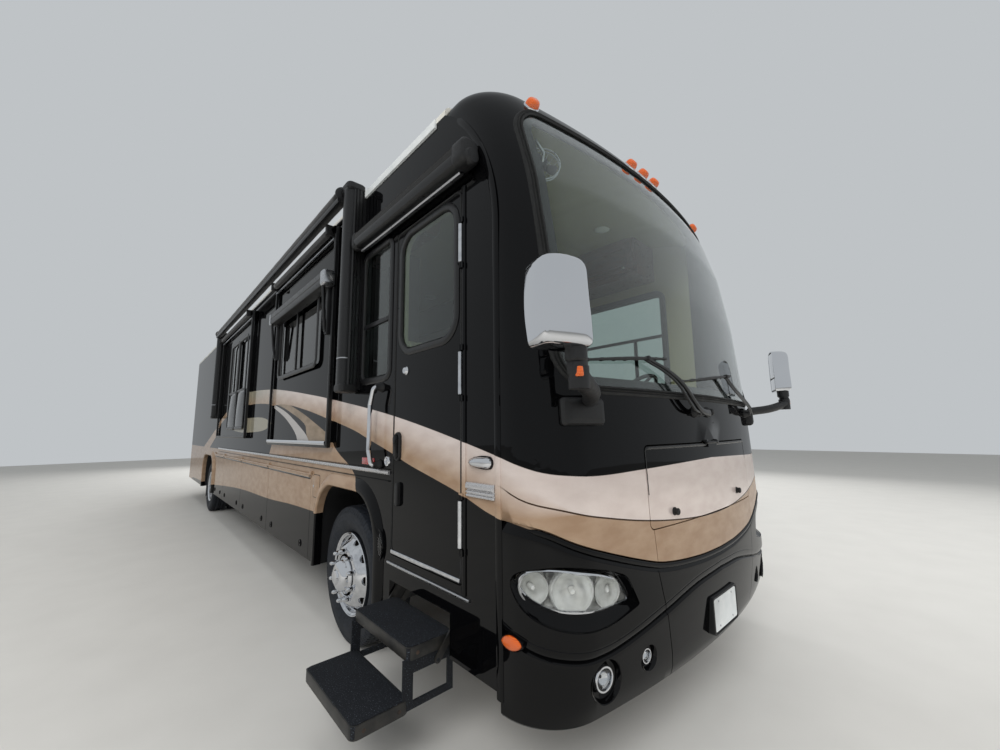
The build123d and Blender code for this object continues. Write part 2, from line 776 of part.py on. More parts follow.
# Folding entry steps: two treads on side frames, swung by two pairs of links
link_drop = link_length * cos(radians(link_angle))
link_reach = link_length * sin(radians(link_angle))
step_pins = [(pivot_y - link_reach, pivot_z - link_drop) for pivot_y, pivot_z in link_pivots]
with BuildPart() as entry_steps:
    block(step_x, upper_tread_y, (upper_tread_z - tread_thickness, upper_tread_z))
    block(step_x, lower_tread_y, (lower_tread_z - tread_thickness, lower_tread_z))
    fillet(entry_steps.edges().filter_by(Axis.Z), step_side)
    under_z = upper_tread_z - tread_thickness
    low_z = lower_tread_z - tread_thickness
    hanger_y = (upper_tread_y[0] + 2 * step_side, step_pins[0][0] + link_width / 2)
    hanger_z = (step_pins[1][1] - link_width / 2, under_z)
    post_width = 2.5 * step_side
    for side_x in ((step_x[0], step_x[0] + step_side), (step_x[1] - step_side, step_x[1])):
        block(side_x, hanger_y, hanger_z)
        front_post_y = (lower_tread_y[1] - post_width, upper_tread_y[0] + post_width)
        block(side_x, front_post_y, (low_z, under_z))
        block(side_x, (lower_tread_y[1], upper_tread_y[1]), (low_z, low_z + post_width))
        block(side_x, (upper_tread_y[1] - post_width, upper_tread_y[1]), (low_z, under_z))
    for plate_x, near_x in ((link_x[0], step_x[0]), (link_x[1], step_x[1])):
        for pin_y, pin_z in step_pins:
            away = 2 if plate_x[0] > near_x else -2
            pin_end_x = (max(plate_x) if away > 0 else min(plate_x)) + away
            pin_root_x = near_x - step_side / 2 if away > 0 else near_x + step_side / 2
            rod((pin_root_x, pin_y, pin_z), (pin_end_x, pin_y, pin_z), link_pin_radius)
save(entry_steps.part, "entry_steps")


def step_links(pivot, pin):
    with BuildPart() as links:
        for plate_x in link_x:
            with BuildSketch(Plane.YZ.offset(plate_x[0])):
                with Locations((middle((pivot[0], pin[0])), middle((pivot[1], pin[1])))):
                    SlotOverall(link_length + link_width, link_width, rotation=90 - link_angle)
                with Locations(pivot, pin):
                    Circle(link_pin_radius + bore_clearance, mode=Mode.SUBTRACT)
            extrude(amount=link_thickness)
    return links.part


save(step_links(link_pivots[0], step_pins[0]), "step_inner_links")
save(step_links(link_pivots[1], step_pins[1]), "step_outer_links")


# Wheels. Profiles run outward from the wheel's middle plane and up from its axis.
def wheel_plane(x, y):
    return Plane(origin=(x, -y, tyre_radius), x_dir=(0, -1, 0), z_dir=(-1, 0, 0))


def polygon(*points):
    Polygon(*points, align=None)


def tyre_profile(centre):
    bead = rim_width / 2 - rim_flange - 3
    side = tyre_width / 2
    foot = rim_radius + bore_clearance
    polygon(
        (centre - bead, foot),
        (centre - bead, rim_radius + 1.1 * rim_flange),
        (centre - side, rim_radius + 4.5 * rim_flange),
        (centre - side, tyre_radius - 58),
        (centre - side * 0.86, tyre_radius - 13),
        (centre - side * 0.73, tyre_radius),
        (centre + side * 0.73, tyre_radius),
        (centre + side * 0.86, tyre_radius - 13),
        (centre + side, tyre_radius - 58),
        (centre + side, rim_radius + 4.5 * rim_flange),
        (centre + bead, rim_radius + 1.1 * rim_flange),
        (centre + bead, foot),
    )


def barrel_profile(centre):
    edge = rim_width / 2
    seat_edge = edge - rim_flange
    lip = rim_radius + rim_flange
    bottom = rim_radius - rim_wall
    polygon(
        (centre - edge, bottom),
        (centre - edge, lip),
        (centre - seat_edge, lip),
        (centre - seat_edge, rim_radius),
        (centre + seat_edge, rim_radius),
        (centre + seat_edge, lip),
        (centre + edge, lip),
        (centre + edge, bottom),
    )


def rectangle(a, r):
    polygon((a[0], r[0]), (a[1], r[0]), (a[1], r[1]), (a[0], r[1]))


disc_sheet = 15
disc_edge_radius = 208
hub_radius = 84
cap_radius = 66
hub_cap = 30


def wheel_holes(x, y, start, end):
    # Hand holes through the sloping part of the disc
    for turn in range(nut_count):
        angle = radians(360 / nut_count * (turn + 0.5))
        hole_x = x + hand_hole_circle * cos(angle)
        hole_z = tyre_radius + hand_hole_circle * sin(angle)
        rod((hole_x, -y - start, hole_z), (hole_x, -y - end, hole_z), hand_hole_radius, Mode.SUBTRACT)


def wheel_nuts(x, y, start, end):
    for turn in range(nut_count):
        angle = radians(360 / nut_count * turn)
        nut_x = x + nut_circle * cos(angle)
        nut_z = tyre_radius + nut_circle * sin(angle)
        rod((nut_x, -y - start, nut_z), (nut_x, -y - end, nut_z), nut_radius)


hub_start = 20
with BuildPart() as front_rim:
    with BuildSketch(wheel_plane(0, wheel_centre_y)):
        barrel_profile(0)
        disc_in = steer_disc_out
        disc_out = steer_disc_out + disc_sheet
        barrel_inside = rim_radius - rim_wall + 2
        polygon(
            (disc_in - 90, barrel_inside),
            (disc_in - 74, barrel_inside),
            (disc_out, disc_edge_radius),
            (disc_out, hub_radius - 4),
            (disc_in, hub_radius - 4),
            (disc_in, disc_edge_radius - 5),
        )
        rectangle((hub_start, disc_out), (spindle_radius + bore_clearance, hub_radius))
        rectangle((disc_out, disc_out + hub_cap), (0, cap_radius))
    revolve(axis=Axis((0, 0, tyre_radius), (0, 1, 0)))
    wheel_holes(0, wheel_centre_y, disc_in - 90, disc_out + hub_cap)
    wheel_nuts(0, wheel_centre_y, disc_out - 2, disc_out + nut_length)
with BuildPart() as front_tyre:
    with BuildSketch(wheel_plane(0, wheel_centre_y)):
        tyre_profile(0)
    revolve(axis=Axis((0, 0, tyre_radius), (0, 1, 0)))

twin_middle = -twin_spacing / 2
with BuildPart() as rear_rim:
    with BuildSketch(wheel_plane(-wheelbase, wheel_centre_y)):
        barrel_profile(0)
        barrel_profile(-twin_spacing)
        half_disc = disc_sheet / 1.4
        for way in (1, -1):
            polygon(
                (twin_middle, disc_edge_radius + 24),
                (twin_middle, disc_edge_radius),
                (twin_middle + way * half_disc, disc_edge_radius),
                (twin_middle + way * (half_disc + 50), barrel_inside),
                (twin_middle + way * (half_disc + 33), barrel_inside),
            )
        rectangle((twin_middle - half_disc, twin_middle + half_disc), (hub_radius, disc_edge_radius + 8))
        hub_inner = (spindle_radius + bore_clearance, hub_radius + 4)
        rectangle((twin_middle - half_disc, -hub_start), hub_inner)
        rectangle((-hub_start, -hub_start + hub_cap), (0, cap_radius + 10))
    revolve(axis=Axis((-wheelbase, 0, tyre_radius), (0, 1, 0)))
    wheel_nuts(-wheelbase, wheel_centre_y, twin_middle + half_disc - 2, twin_middle + half_disc + nut_length)
with BuildPart() as rear_tyres:
    with BuildSketch(wheel_plane(-wheelbase, wheel_centre_y)):
        tyre_profile(0)
        tyre_profile(-twin_spacing)
    revolve(axis=Axis((-wheelbase, 0, tyre_radius), (0, 1, 0)))

for place, rim_part, tyre_part, tyre_name in (
    ("front", front_rim.part, front_tyre.part, "tyre"),
    ("rear", rear_rim.part, rear_tyres.part, "tyres"),
):
    save(rim_part, place + "_right_rim")
    save(on_left(rim_part), place + "_left_rim")
    save(tyre_part, place + "_right_" + tyre_name)
    save(on_left(tyre_part), place + "_left_" + tyre_name)

# Steering knuckles: two ears round the kingpin, and the wheel's spindle
with BuildPart() as knuckle:
    ear_inner_y = -kingpin_y + kingpin_boss
    upright_y = (-kingpin_y - kingpin_boss - 2 * swing_gap - ear, -kingpin_y - kingpin_boss - 2 * swing_gap)
    low_ear_z = boss_z[0] - swing_gap
    high_ear_z = boss_z[1] + swing_gap
    for ear_z in ((low_ear_z - ear, low_ear_z), (high_ear_z, high_ear_z + ear)):
        block(both(kingpin_boss), (upright_y[0], ear_inner_y), ear_z)
    block(both(kingpin_boss), upright_y, (low_ear_z - ear, high_ear_z + ear))
    spindle_end = -wheel_centre_y - steer_disc_out
    rod((0, upright_y[0], tyre_radius), (0, spindle_end, tyre_radius), spindle_radius)
    pin_top = (0, -kingpin_y, high_ear_z + 2 * ear)
    pin_low = (0, -kingpin_y, low_ear_z - 2 * ear)
    rod(pin_low, pin_top, kingpin_radius + bore_clearance, Mode.SUBTRACT)
save(knuckle.part, "right_knuckle")
save(on_left(knuckle.part), "left_knuckle")

# Front axle beam with kingpins and air bags
with BuildPart() as front_axle:
    block(both(beam_half), both(kingpin_y - kingpin_boss / 2), beam_z)
    for sign in (1, -1):
        pin_y = sign * kingpin_y
        rod((0, pin_y, boss_z[0]), (0, pin_y, boss_z[1]), kingpin_boss)
        rod((0, pin_y, low_ear_z - ear), (0, pin_y, high_ear_z + ear), kingpin_radius)
        bag_y = sign * rail_middle_y
        rod((0, bag_y, beam_z[0]), (0, bag_y, rail_bottom_z), bag_radius)
save(front_axle.part, "front_axle")

# Drive axle with saddle beams and air bags
with BuildPart() as rear_axle:
    tube_end = wheel_centre_y - twin_spacing - tyre_width / 2 - 2 * swing_gap
    axle_point = (-wheelbase, 0, tyre_radius)
    rod((-wheelbase, -tube_end, tyre_radius), (-wheelbase, tube_end, tyre_radius), axle_tube_radius)
    spindle_y = wheel_centre_y - hub_start - 2 * swing_gap
    rod((-wheelbase, -spindle_y, tyre_radius), (-wheelbase, spindle_y, tyre_radius), spindle_radius)
    with Locations(axle_point):
        Sphere(axle_housing_radius)
    for sign in (1, -1):
        saddle_y = (sign * (rail_middle_y - beam_half), sign * (rail_middle_y + beam_half))
        saddle_x = (-wheelbase - bag_reach, -wheelbase + bag_reach)
        block(saddle_x, saddle_y, beam_z)
        for way in (1, -1):
            bag_x = -wheelbase + way * (bag_reach - bag_radius)
            bag_start = (bag_x, sign * rail_middle_y, beam_z[1] - 10)
            rod(bag_start, (bag_x, sign * rail_middle_y, rail_bottom_z), bag_radius)
save(rear_axle.part, "rear_axle")

# Engine, a plain block between the rails
with BuildPart() as engine:
    block(engine_x, both(rail_inner_y - bag_radius / 2), engine_z)
    for mount_x in (engine_x[0] + bag_radius, engine_x[1] - bag_radius):
        block((mount_x - beam_half, mount_x + beam_half), both(rail_inner_y), grow((member_z, member_z), beam_half))
save(engine.part, "engine")

# Dashboard, steering wheel and cab seats
with BuildPart() as dashboard:
    with BuildSketch(Plane.XZ.offset(-dash_half)):
        polygon(
            (dash_x[0], dash_z[0]),
            (dash_x[0], dash_z[1] - dash_slope),
            (dash_x[0] + dash_slope, dash_z[1]),
            (dash_x[1], dash_z[1]),
            (dash_x[1], floor_z),
            (dash_x[1] - 2 * wall, floor_z),
            (dash_x[1] - 2 * wall, dash_z[0]),
        )
    extrude(amount=2 * dash_half)
save(dashboard.part, "dashboard")

with BuildPart() as steering_wheel:
    wheel_tilt = Plane(origin=steering_centre, z_dir=(-1, 0, 1.2))
    with Locations(wheel_tilt):
        Torus(steering_radius, steering_rim)
        Cylinder(steering_radius / 4, 2 * steering_rim)
        for turn in (0, 120, 240):
            with Locations(Location((0, 0, 0), (0, 0, turn))):
                spoke_align = (Align.MIN, Align.CENTER, Align.CENTER)
                Box(steering_radius, 2 * steering_rim, steering_rim, align=spoke_align)
    column_end = (steering_centre[0] + 300, steering_centre[1], steering_centre[2] - 300)
    rod(steering_centre, column_end, 2 * steering_rim)
    add(dashboard.part, mode=Mode.SUBTRACT)
save(steering_wheel.part, "steering_wheel")

with BuildPart() as cab_seats:
    for seat_x, seat_y in seat_places:
        half = seat_size / 2
        span_y = (seat_y - half, seat_y + half)
        block((seat_x - half / 2, seat_x + half / 2), (seat_y - half / 2, seat_y + half / 2), (floor_z, seat_z))
        block((seat_x - half, seat_x + half), span_y, (seat_z, seat_z + cushion))
        block((seat_x - half, seat_x - half + cushion), span_y, (seat_z, seat_back_z))
        for arm_y in (seat_y - half, seat_y + half):
            arm_span = (arm_y - cushion / 4, arm_y + cushion / 4)
            block((seat_x - half, seat_x + half / 2), arm_span, (seat_z + cushion, seat_z + 2 * cushion))
save(cab_seats.part, "cab_seats")

# Mirrors on the cap's corners
with BuildPart() as mirrors:
    block(*mirror_base)
    add(cap_solid.part, mode=Mode.SUBTRACT)
    for start, end in zip(mirror_arm, mirror_arm[1:]):
        rod(start, end, mirror_arm_radius)
    for joint in mirror_arm[1:-1]:
        with Locations(joint):
            Sphere(mirror_arm_radius)
    head_plane = Plane(origin=mirror_head_centre, z_dir=(0, 0, 1)).rotated((0, 0, -mirror_head_turn))
    with BuildSketch(head_plane.offset(-mirror_head_size[2] / 2)):
        RectangleRounded(mirror_head_size[0], mirror_head_size[1], mirror_head_size[0] * 0.4)
    extrude(amount=mirror_head_size[2])
    mirror(about=Plane.XZ)
save(mirrors.part, "mirrors")

# Wipers: pivot, arm and blade, clear of the glass
with BuildPart() as wipers:
    for pivot_y in wiper_pivot_y:
        pivot_x = cap_face_x(pivot_y, wiper_pivot_z)
        rod((pivot_x - wall, pivot_y, wiper_pivot_z), (pivot_x + wall, pivot_y, wiper_pivot_z), wiper_boss_radius)
    add(cap_solid.part, mode=Mode.SUBTRACT)
    for pivot_y in wiper_pivot_y:
        pivot_x = cap_face_x(pivot_y, wiper_pivot_z)
        middle_y = pivot_y - wiper_reach
        blade_x = cap_face_x(middle_y, wiper_blade_z) + wiper_stand
        rod((pivot_x + wall - 8, pivot_y, wiper_pivot_z), (blade_x, middle_y, wiper_blade_z), wiper_bar)
        start_y = middle_y - wiper_blade_half
        end_y = middle_y + wiper_blade_half
        start = (cap_face_x(start_y, wiper_blade_z) + wiper_stand, start_y, wiper_blade_z)
        end = (cap_face_x(end_y, wiper_blade_z) + wiper_stand, end_y, wiper_blade_z)
        rod(start, end, wiper_bar)
save(wipers.part, "wipers")

# Grab handle beside the entry door
with BuildPart() as grab_handle:
    with BuildLine() as handle_path:
        FilletPolyline(*handle_points, radius=handle_bend)
    with BuildSketch(Plane(origin=handle_path.line @ 0, z_dir=handle_path.line % 0)):
        Circle(handle_radius)
    sweep()
save(grab_handle.part, "grab_handle")

# Awnings
with BuildPart() as patio_awning:
    arm_y = (-half_width - awning_depth, -half_width)
    for arm_x in awning_arm_x:
        block((arm_x - awning_arm_width / 2, arm_x + awning_arm_width / 2), arm_y, awning_arm_z)
    roller_y = -half_width - awning_roller_out
    roller_z = awning_arm_z[1] - awning_roller_radius
    rod((awning_arm_x[0], roller_y, roller_z), (awning_arm_x[1], roller_y, roller_z), awning_roller_radius)
save(patio_awning.part, "patio_awning")

with BuildPart() as door_awning:
    block(door_awning_x, (-half_width - door_awning_depth, -half_width), door_awning_z)
    fillet(door_awning.edges().filter_by(Axis.X).group_by(Axis.Y)[0], door_awning_depth / 3)
save(door_awning.part, "door_awning")

# Air conditioners on the roof
with BuildPart() as roof_air_conditioners:
    for unit_x in air_unit_x:
        half_length = air_unit_size[0] / 2
        span_x = (unit_x - half_length, unit_x + half_length)
        block(span_x, both(air_unit_size[1] / 2), (roof_z, roof_z + air_unit_size[2]))
    chamfer(roof_air_conditioners.faces().filter_by(Axis.Z).sort_by(Axis.Z)[-2:].edges(), air_unit_size[2] / 3)
save(roof_air_conditioners.part, "roof_air_conditioners")
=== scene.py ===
# Motorhome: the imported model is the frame, and this script makes everything that is seen
import math

import bmesh
import bpy
from mathutils import Matrix, Vector


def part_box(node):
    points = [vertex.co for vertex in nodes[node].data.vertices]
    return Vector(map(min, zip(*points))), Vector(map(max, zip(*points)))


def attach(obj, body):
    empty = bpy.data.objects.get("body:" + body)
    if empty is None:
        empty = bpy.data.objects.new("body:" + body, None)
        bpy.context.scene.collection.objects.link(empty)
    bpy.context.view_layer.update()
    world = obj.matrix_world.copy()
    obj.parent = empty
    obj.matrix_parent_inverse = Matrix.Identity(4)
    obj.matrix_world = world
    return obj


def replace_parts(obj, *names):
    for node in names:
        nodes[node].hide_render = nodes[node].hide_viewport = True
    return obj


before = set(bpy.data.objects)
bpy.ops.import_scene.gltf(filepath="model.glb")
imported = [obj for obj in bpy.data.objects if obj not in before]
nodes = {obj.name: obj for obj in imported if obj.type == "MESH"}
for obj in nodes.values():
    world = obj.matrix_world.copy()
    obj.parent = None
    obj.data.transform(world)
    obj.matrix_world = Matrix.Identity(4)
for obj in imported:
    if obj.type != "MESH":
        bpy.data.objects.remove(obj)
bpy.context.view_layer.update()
mainBody = "motorhome_body"
up = Vector((0, 0, 1))
merge = 1e-6
print("frame loaded:", len(nodes), "nodes")


# Colour and node helpers
def hexColour(code):
    def toLinear(value):
        return value / 12.92 if value <= 0.04045 else ((value + 0.055) / 1.055) ** 2.4

    return (*(toLinear(int(code[i:i + 2], 16) / 255) for i in (0, 2, 4)), 1.0)


def addNode(tree, kind, inputs=None, **settings):
    # inputs: socket name or number to a value or to another node's output
    node = tree.nodes.new(kind)
    for name, value in settings.items():
        setattr(node, name, value)
    for name, value in (inputs or {}).items():
        if isinstance(value, bpy.types.NodeSocket):
            tree.links.new(value, node.inputs[name])
        else:
            node.inputs[name].default_value = value
    return node


def newMaterial(name):
    material = bpy.data.materials.new(name)
    material.use_nodes = True
    tree = material.node_tree
    tree.nodes.clear()
    output = addNode(tree, "ShaderNodeOutputMaterial")
    place = addNode(tree, "ShaderNodeTexCoord").outputs["Object"]
    return material, tree, output, place


def math2(tree, operation, first, second=0.0):
    return addNode(tree, "ShaderNodeMath", {0: first, 1: second}, operation=operation).outputs[0]


def mixColour(tree, amount, first, second):
    inputs = {0: amount, 6: first, 7: second}
    return addNode(tree, "ShaderNodeMix", inputs, data_type="RGBA").outputs[2]


def noiseAt(tree, place, sizeMm, detail=2.0, stretch=(1, 1, 1)):
    # One blob of the noise is about sizeMm across
    scaled = addNode(tree, "ShaderNodeMapping", {"Vector": place, "Scale": stretch}).outputs[0]
    inputs = {"Vector": scaled, "Scale": 1000 / sizeMm, "Detail": detail}
    return addNode(tree, "ShaderNodeTexNoise", inputs).outputs["Fac"]


def waveAt(tree, place, scale, way):
    inputs = {"Vector": place, "Scale": scale}
    return addNode(tree, "ShaderNodeTexWave", inputs, bands_direction=way).outputs["Fac"]


def remap(tree, value, low, high, newLow=0.0, newHigh=1.0):
    inputs = {"Value": value, "From Min": low, "From Max": high, "To Min": newLow, "To Max": newHigh}
    return addNode(tree, "ShaderNodeMapRange", inputs).outputs[0]


def bumpFrom(tree, height, depthMm):
    inputs = {"Height": height, "Distance": depthMm / 1000, "Strength": 1.0}
    return addNode(tree, "ShaderNodeBump", inputs).outputs[0]


def surface(tree, output, **inputs):
    # Keys are the shader's socket names with underscores for spaces
    named = {key.replace("_", " "): value for key, value in inputs.items()}
    shader = addNode(tree, "ShaderNodeBsdfPrincipled", named)
    tree.links.new(shader.outputs[0], output.inputs[0])
    return shader


# Mesh helpers. All lengths are metres in the vehicle's own frame, and mm turns tables of millimetres into them.
def mm(table):
    return table / 1000 if isinstance(table, (int, float)) else [mm(each) for each in table]


def newPiece(name, mesh, materials=()):
    for material in materials:
        mesh.materials.append(material)
    piece = bpy.data.objects.new(name, mesh)
    bpy.context.scene.collection.objects.link(piece)
    return piece


def finishPiece(piece, body, sharp=35):
    smooth(piece, sharp)
    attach(piece, body)
    return piece


def smooth(piece, sharp=35):
    piece.data.shade_smooth()
    piece.data.set_sharp_from_angle(angle=math.radians(sharp))


def circle(count):
    return [2 * math.pi * i / count for i in range(count)]


def arc(centre, radius, start, end, steps, skip=0):
    # Points of an arc in degrees, with the first ones left out
    turns = [math.radians(start + (end - start) * i / steps) for i in range(skip, steps + 1)]
    return [(centre[0] + radius * math.cos(turn), centre[1] + radius * math.sin(turn)) for turn in turns]


def spread(start, end, steps):
    return [start + (end - start) * i / steps for i in range(steps + 1)]


class Shape:
    # Gathers several simple solids into one mesh
    def __init__(self):
        self.points = []
        self.faces = []

    def add(self, points, faces):
        start = len(self.points)
        self.points += [Vector(point) for point in points]
        self.faces += [[start + i for i in face] for face in faces]

    def rings(self, rings, closedRings=True, capped=True, closedPath=False):
        # Rings of equal count joined one after another
        count = len(rings[0])
        faces = []
        for i in range(len(rings) if closedPath else len(rings) - 1):
            a, b = i * count, (i + 1) % len(rings) * count
            for j in range(count if closedRings else count - 1):
                k = (j + 1) % count
                faces.append((a + j, a + k, b + k, b + j))
        if capped and closedRings and not closedPath:
            faces.append(list(range(count))[::-1])
            faces.append([(len(rings) - 1) * count + j for j in range(count)])
        self.add([point for ring in rings for point in ring], faces)

    def capLast(self, count):
        self.faces.append([len(self.points) - count + i for i in range(count)])

    def tube(self, path, radius, sides=12, closed=False, flat=1.0):
        # flat squeezes the section along its second direction
        path = [Vector(point) for point in path]
        rings = []
        across = None
        for i, point in enumerate(path):
            ahead = path[(i + 1) % len(path)] if closed or i < len(path) - 1 else point
            behind = path[i - 1] if closed or i > 0 else point
            along = (ahead - behind).normalized()
            across = across or along.orthogonal().normalized()
            across = (across - along * across.dot(along)).normalized()
            other = along.cross(across)
            rings.append([point + radius * (math.cos(turn) * across + flat * math.sin(turn) * other)
                          for turn in circle(sides)])
        self.rings(rings, closedPath=closed)

    def lathe(self, centre, axis, profile, segments=64, closedProfile=False):
        # profile: (along the axis, radius) pairs
        centre, axis = Vector(centre), Vector(axis).normalized()
        across = up if abs(axis.z) < 0.9 else Vector((1, 0, 0))
        across = (across - axis * across.dot(axis)).normalized()
        other = axis.cross(across)
        outs = [math.cos(turn) * across + math.sin(turn) * other for turn in circle(segments)]
        rings = [[centre + a * axis + r * out for a, r in profile] for out in outs]
        self.rings(rings, closedRings=closedProfile, closedPath=True)

    def box(self, x, y, z, bevel, segments=2):
        # x, y and z are pairs of limits
        bm = bmesh.new()
        bmesh.ops.create_cube(bm, size=1)
        for vert in bm.verts:
            for axis, span in enumerate((x, y, z)):
                vert.co[axis] = span[0] if vert.co[axis] < 0 else span[1]
        bmesh.ops.recalc_face_normals(bm, faces=bm.faces)
        bmesh.ops.bevel(bm, geom=bm.edges[:], offset=bevel, segments=segments, profile=0.5, affect="EDGES")
        bm.verts.index_update()
        self.add([vert.co.copy() for vert in bm.verts], [[v.index for v in face.verts] for face in bm.faces])
        bm.free()

    def slab(self, outline, toPoint, low, high, edge=0.0):
        # A flat plate: outline of (a, b) pairs, toPoint(a, b, depth), with rounded upper edge
        levels = [(low, 0.0)]
        for share in spread(0, 1, 3) if edge else (0,):
            turn = share * math.pi / 2
            levels.append((high - edge + edge * math.sin(turn), edge * (1 - math.cos(turn))))
        self.stack(outline, toPoint, levels)

    def stack(self, outline, place, levels, centre=None, **more):
        # Rings of one outline at (out, inset) levels, drawn in towards its centre
        count = len(outline)
        centre = Vector(centre or (sum(p[0] for p in outline) / count, sum(p[1] for p in outline) / count))
        self.rings([[place(*shrink(Vector(p), centre, inset), out) for p in outline] for out, inset in levels], **more)

    def scaled(self, outline, centre, place, levels):
        # Rings of one outline at (out, share) levels, scaled about its centre
        centre = Vector(centre)
        self.rings([[place(*(centre + (Vector(p) - centre) * share), out) for p in outline] for out, share in levels])

    def strip(self, section, place, x):
        # section: (outward, second) pairs, carried along x with place(x, second, outward)
        self.rings([[place(spot, b, a) for a, b in section] for spot in x])

    def wrap(self, outline, place, profile):
        # profile pairs are (away from the outline's middle, outward)
        count = len(outline)
        middle = Vector((sum(p[0] for p in outline) / count, sum(p[1] for p in outline) / count))
        rings = []
        for pair, away in zip(outline, awayFrom(outline, middle)):
            rings.append([place(*(Vector(pair) + away * side), out) for side, out in profile])
        self.rings(rings, closedPath=True)

    def mirrored(self):
        # A copy on the other side of the vehicle's middle plane
        other = Shape()
        other.points = [Vector((p.x, -p.y, p.z)) for p in self.points]
        other.faces = [face[::-1] for face in self.faces]
        return other

    def join(self, other):
        self.add(other.points, other.faces)
        return self

    def bothSides(self):
        return Shape().join(self).join(self.mirrored())

    def raw(self, name, materials=()):
        # The bare mesh, before copies are made or looks are set
        mesh = bpy.data.meshes.new(name)
        mesh.from_pydata([tuple(point) for point in self.points], [], self.faces)
        return newPiece(name, mesh, materials)

    def make(self, name, material, slot=None, sharp=35, body=mainBody, outward=True):
        piece = finishPiece(self.raw(name, [material]), body, sharp)
        if outward:
            faceOutward(piece)
            smooth(piece, sharp)
        return piece


def makeAll(slot, *rows, body=mainBody, pairs=False):
    # rows: (name, shape, material, sharp angle)
    for name, shape, material, sharp in rows:
        (shape.bothSides() if pairs else shape).make(name, material, slot, sharp, body)


def awayFrom(outline, middle, closed=True):
    # Directions across the outline at each of its points, away from the middle
    count = len(outline)
    out = []
    for i, pair in enumerate(outline):
        ahead = outline[(i + 1) % count if closed else min(i + 1, count - 1)]
        behind = outline[i - 1 if closed else max(i - 1, 0)]
        along = (Vector(ahead) - Vector(behind)).normalized()
        away = Vector((along.y, -along.x))
        out.append(-away if away.dot(Vector(pair) - middle) < 0 else away)
    return out


def shrink(point, centre, amount):
    away = point - centre
    length = away.length
    return centre + away * max(0.0, (length - amount) / length) if length > 0 else point


def faceOutward(piece):
    # Merge doubles first, then turn every closed shell's faces outwards
    bm = bmesh.new()
    bm.from_mesh(piece.data)
    bmesh.ops.remove_doubles(bm, verts=bm.verts, dist=merge)
    bmesh.ops.recalc_face_normals(bm, faces=bm.faces)
    bm.to_mesh(piece.data)
    bm.free()


def roundRect(width, height, radius, steps=8, centre=(0, 0)):
    # Outline points, anticlockwise from the lower right corner
    points = []
    for cornerX, cornerY, start in ((1, -1, -90), (1, 1, 0), (-1, 1, 90), (-1, -1, 180)):
        middle = (centre[0] + cornerX * (width / 2 - radius), centre[1] + cornerY * (height / 2 - radius))
        points += arc(middle, radius, start, start + 90, steps)
    return points


def rectBetween(a0, a1, b0, b1, radius, steps, grow=0.0):
    return roundRect(a1 - a0 + grow, b1 - b0 + grow, radius, steps, ((a0 + a1) / 2, (b0 + b1) / 2))


def roundCorners(points, radius, steps=5):
    # A closed outline with each corner cut to a quadratic curve
    out = []
    for i, point in enumerate(points):
        corner = Vector(point)
        size = radius[i] if isinstance(radius, (list, tuple)) else radius
        start, end = (corner + (near - corner).normalized() * min(size, (near - corner).length * 0.49)
                      for near in (Vector(points[i - 1]), Vector(points[(i + 1) % len(points)])))
        for t in spread(0, 1, steps):
            out.append(tuple((1 - t) ** 2 * start + 2 * t * (1 - t) * corner + t ** 2 * end))
    return out


def evenly(outline, count):
    # The same closed outline with evenly spaced points
    points = [Vector(point) for point in outline]
    points.append(points[0])
    lengths = [0.0]
    for a, b in zip(points, points[1:]):
        lengths.append(lengths[-1] + (b - a).length)
    out = []
    k = 0
    for i in range(count):
        want = lengths[-1] * i / count
        while k < len(lengths) - 2 and lengths[k + 1] < want:
            k += 1
        span = lengths[k + 1] - lengths[k]
        out.append(points[k].lerp(points[k + 1], (want - lengths[k]) / span if span else 0))
    return out


def curvePoints(points, steps):
    # Catmull-Rom through given points
    points = [Vector(point) for point in points]
    out = []
    count = len(points)
    for i in range(count - 1):
        p1, p2 = points[i], points[i + 1]
        p0 = points[i - 1] if i > 0 else p1 * 2 - p2
        p3 = points[i + 2] if i < count - 2 else p2 * 2 - p1
        for j in range(steps):
            t = j / steps
            out.append(0.5 * (2 * p1 + (p2 - p0) * t + (2 * p0 - 5 * p1 + 4 * p2 - p3) * t * t
                              + (3 * p1 - p0 - 3 * p2 + p3) * t ** 3))
    return out + [points[-1]]


def cutBy(piece, cutter, operation="DIFFERENCE"):
    # Exact boolean, applied; the cutter is removed
    cutter = cutter.make("cutter", piece.data.materials[0])
    modifier = piece.modifiers.new("cut", "BOOLEAN")
    modifier.operation = operation
    modifier.object = cutter
    modifier.solver = "EXACT"
    applyModifiers(piece)
    bpy.data.objects.remove(cutter)


def applyModifiers(piece):
    bpy.context.view_layer.update()
    evaluated = piece.evaluated_get(bpy.context.evaluated_depsgraph_get())
    mesh = bpy.data.meshes.new_from_object(evaluated)
    piece.modifiers.clear()
    old = piece.data
    piece.data = mesh
    bpy.data.meshes.remove(old)


def giveWall(piece, thickness, offset):
    wall = piece.modifiers.new("wall", "SOLIDIFY")
    wall.thickness = thickness
    wall.offset = offset
    applyModifiers(piece)


def paint(mesh, material):
    mesh.materials.clear()
    mesh.materials.append(material)


# Vehicle sizes that the looks share, in metres, as the CAD has them
coach = {
    "side": 1.285, "roomSide": 1.3103, "roomFace": 1.3353, "seamX": 1.715, "noseBow": 5.75, "noseCorner": 0.29,
    "skirt": 0.425, "roof": 3.44, "rearX": -10.4,
}
sideY = coach["side"]
# The nose's furthest reach by height: (z, x)
noseTable = mm(((330, 2095), (430, 2135), (650, 2156), (1200, 2149), (1800, 2122), (2300, 2080), (2750, 2010),
    (3080, 1917), (3270, 1830), (3385, 1735), (3445, 1620), (3475, 1500)))
rooms = (("right_front_room", -1), ("right_rear_room", -1), ("left_room", 1))


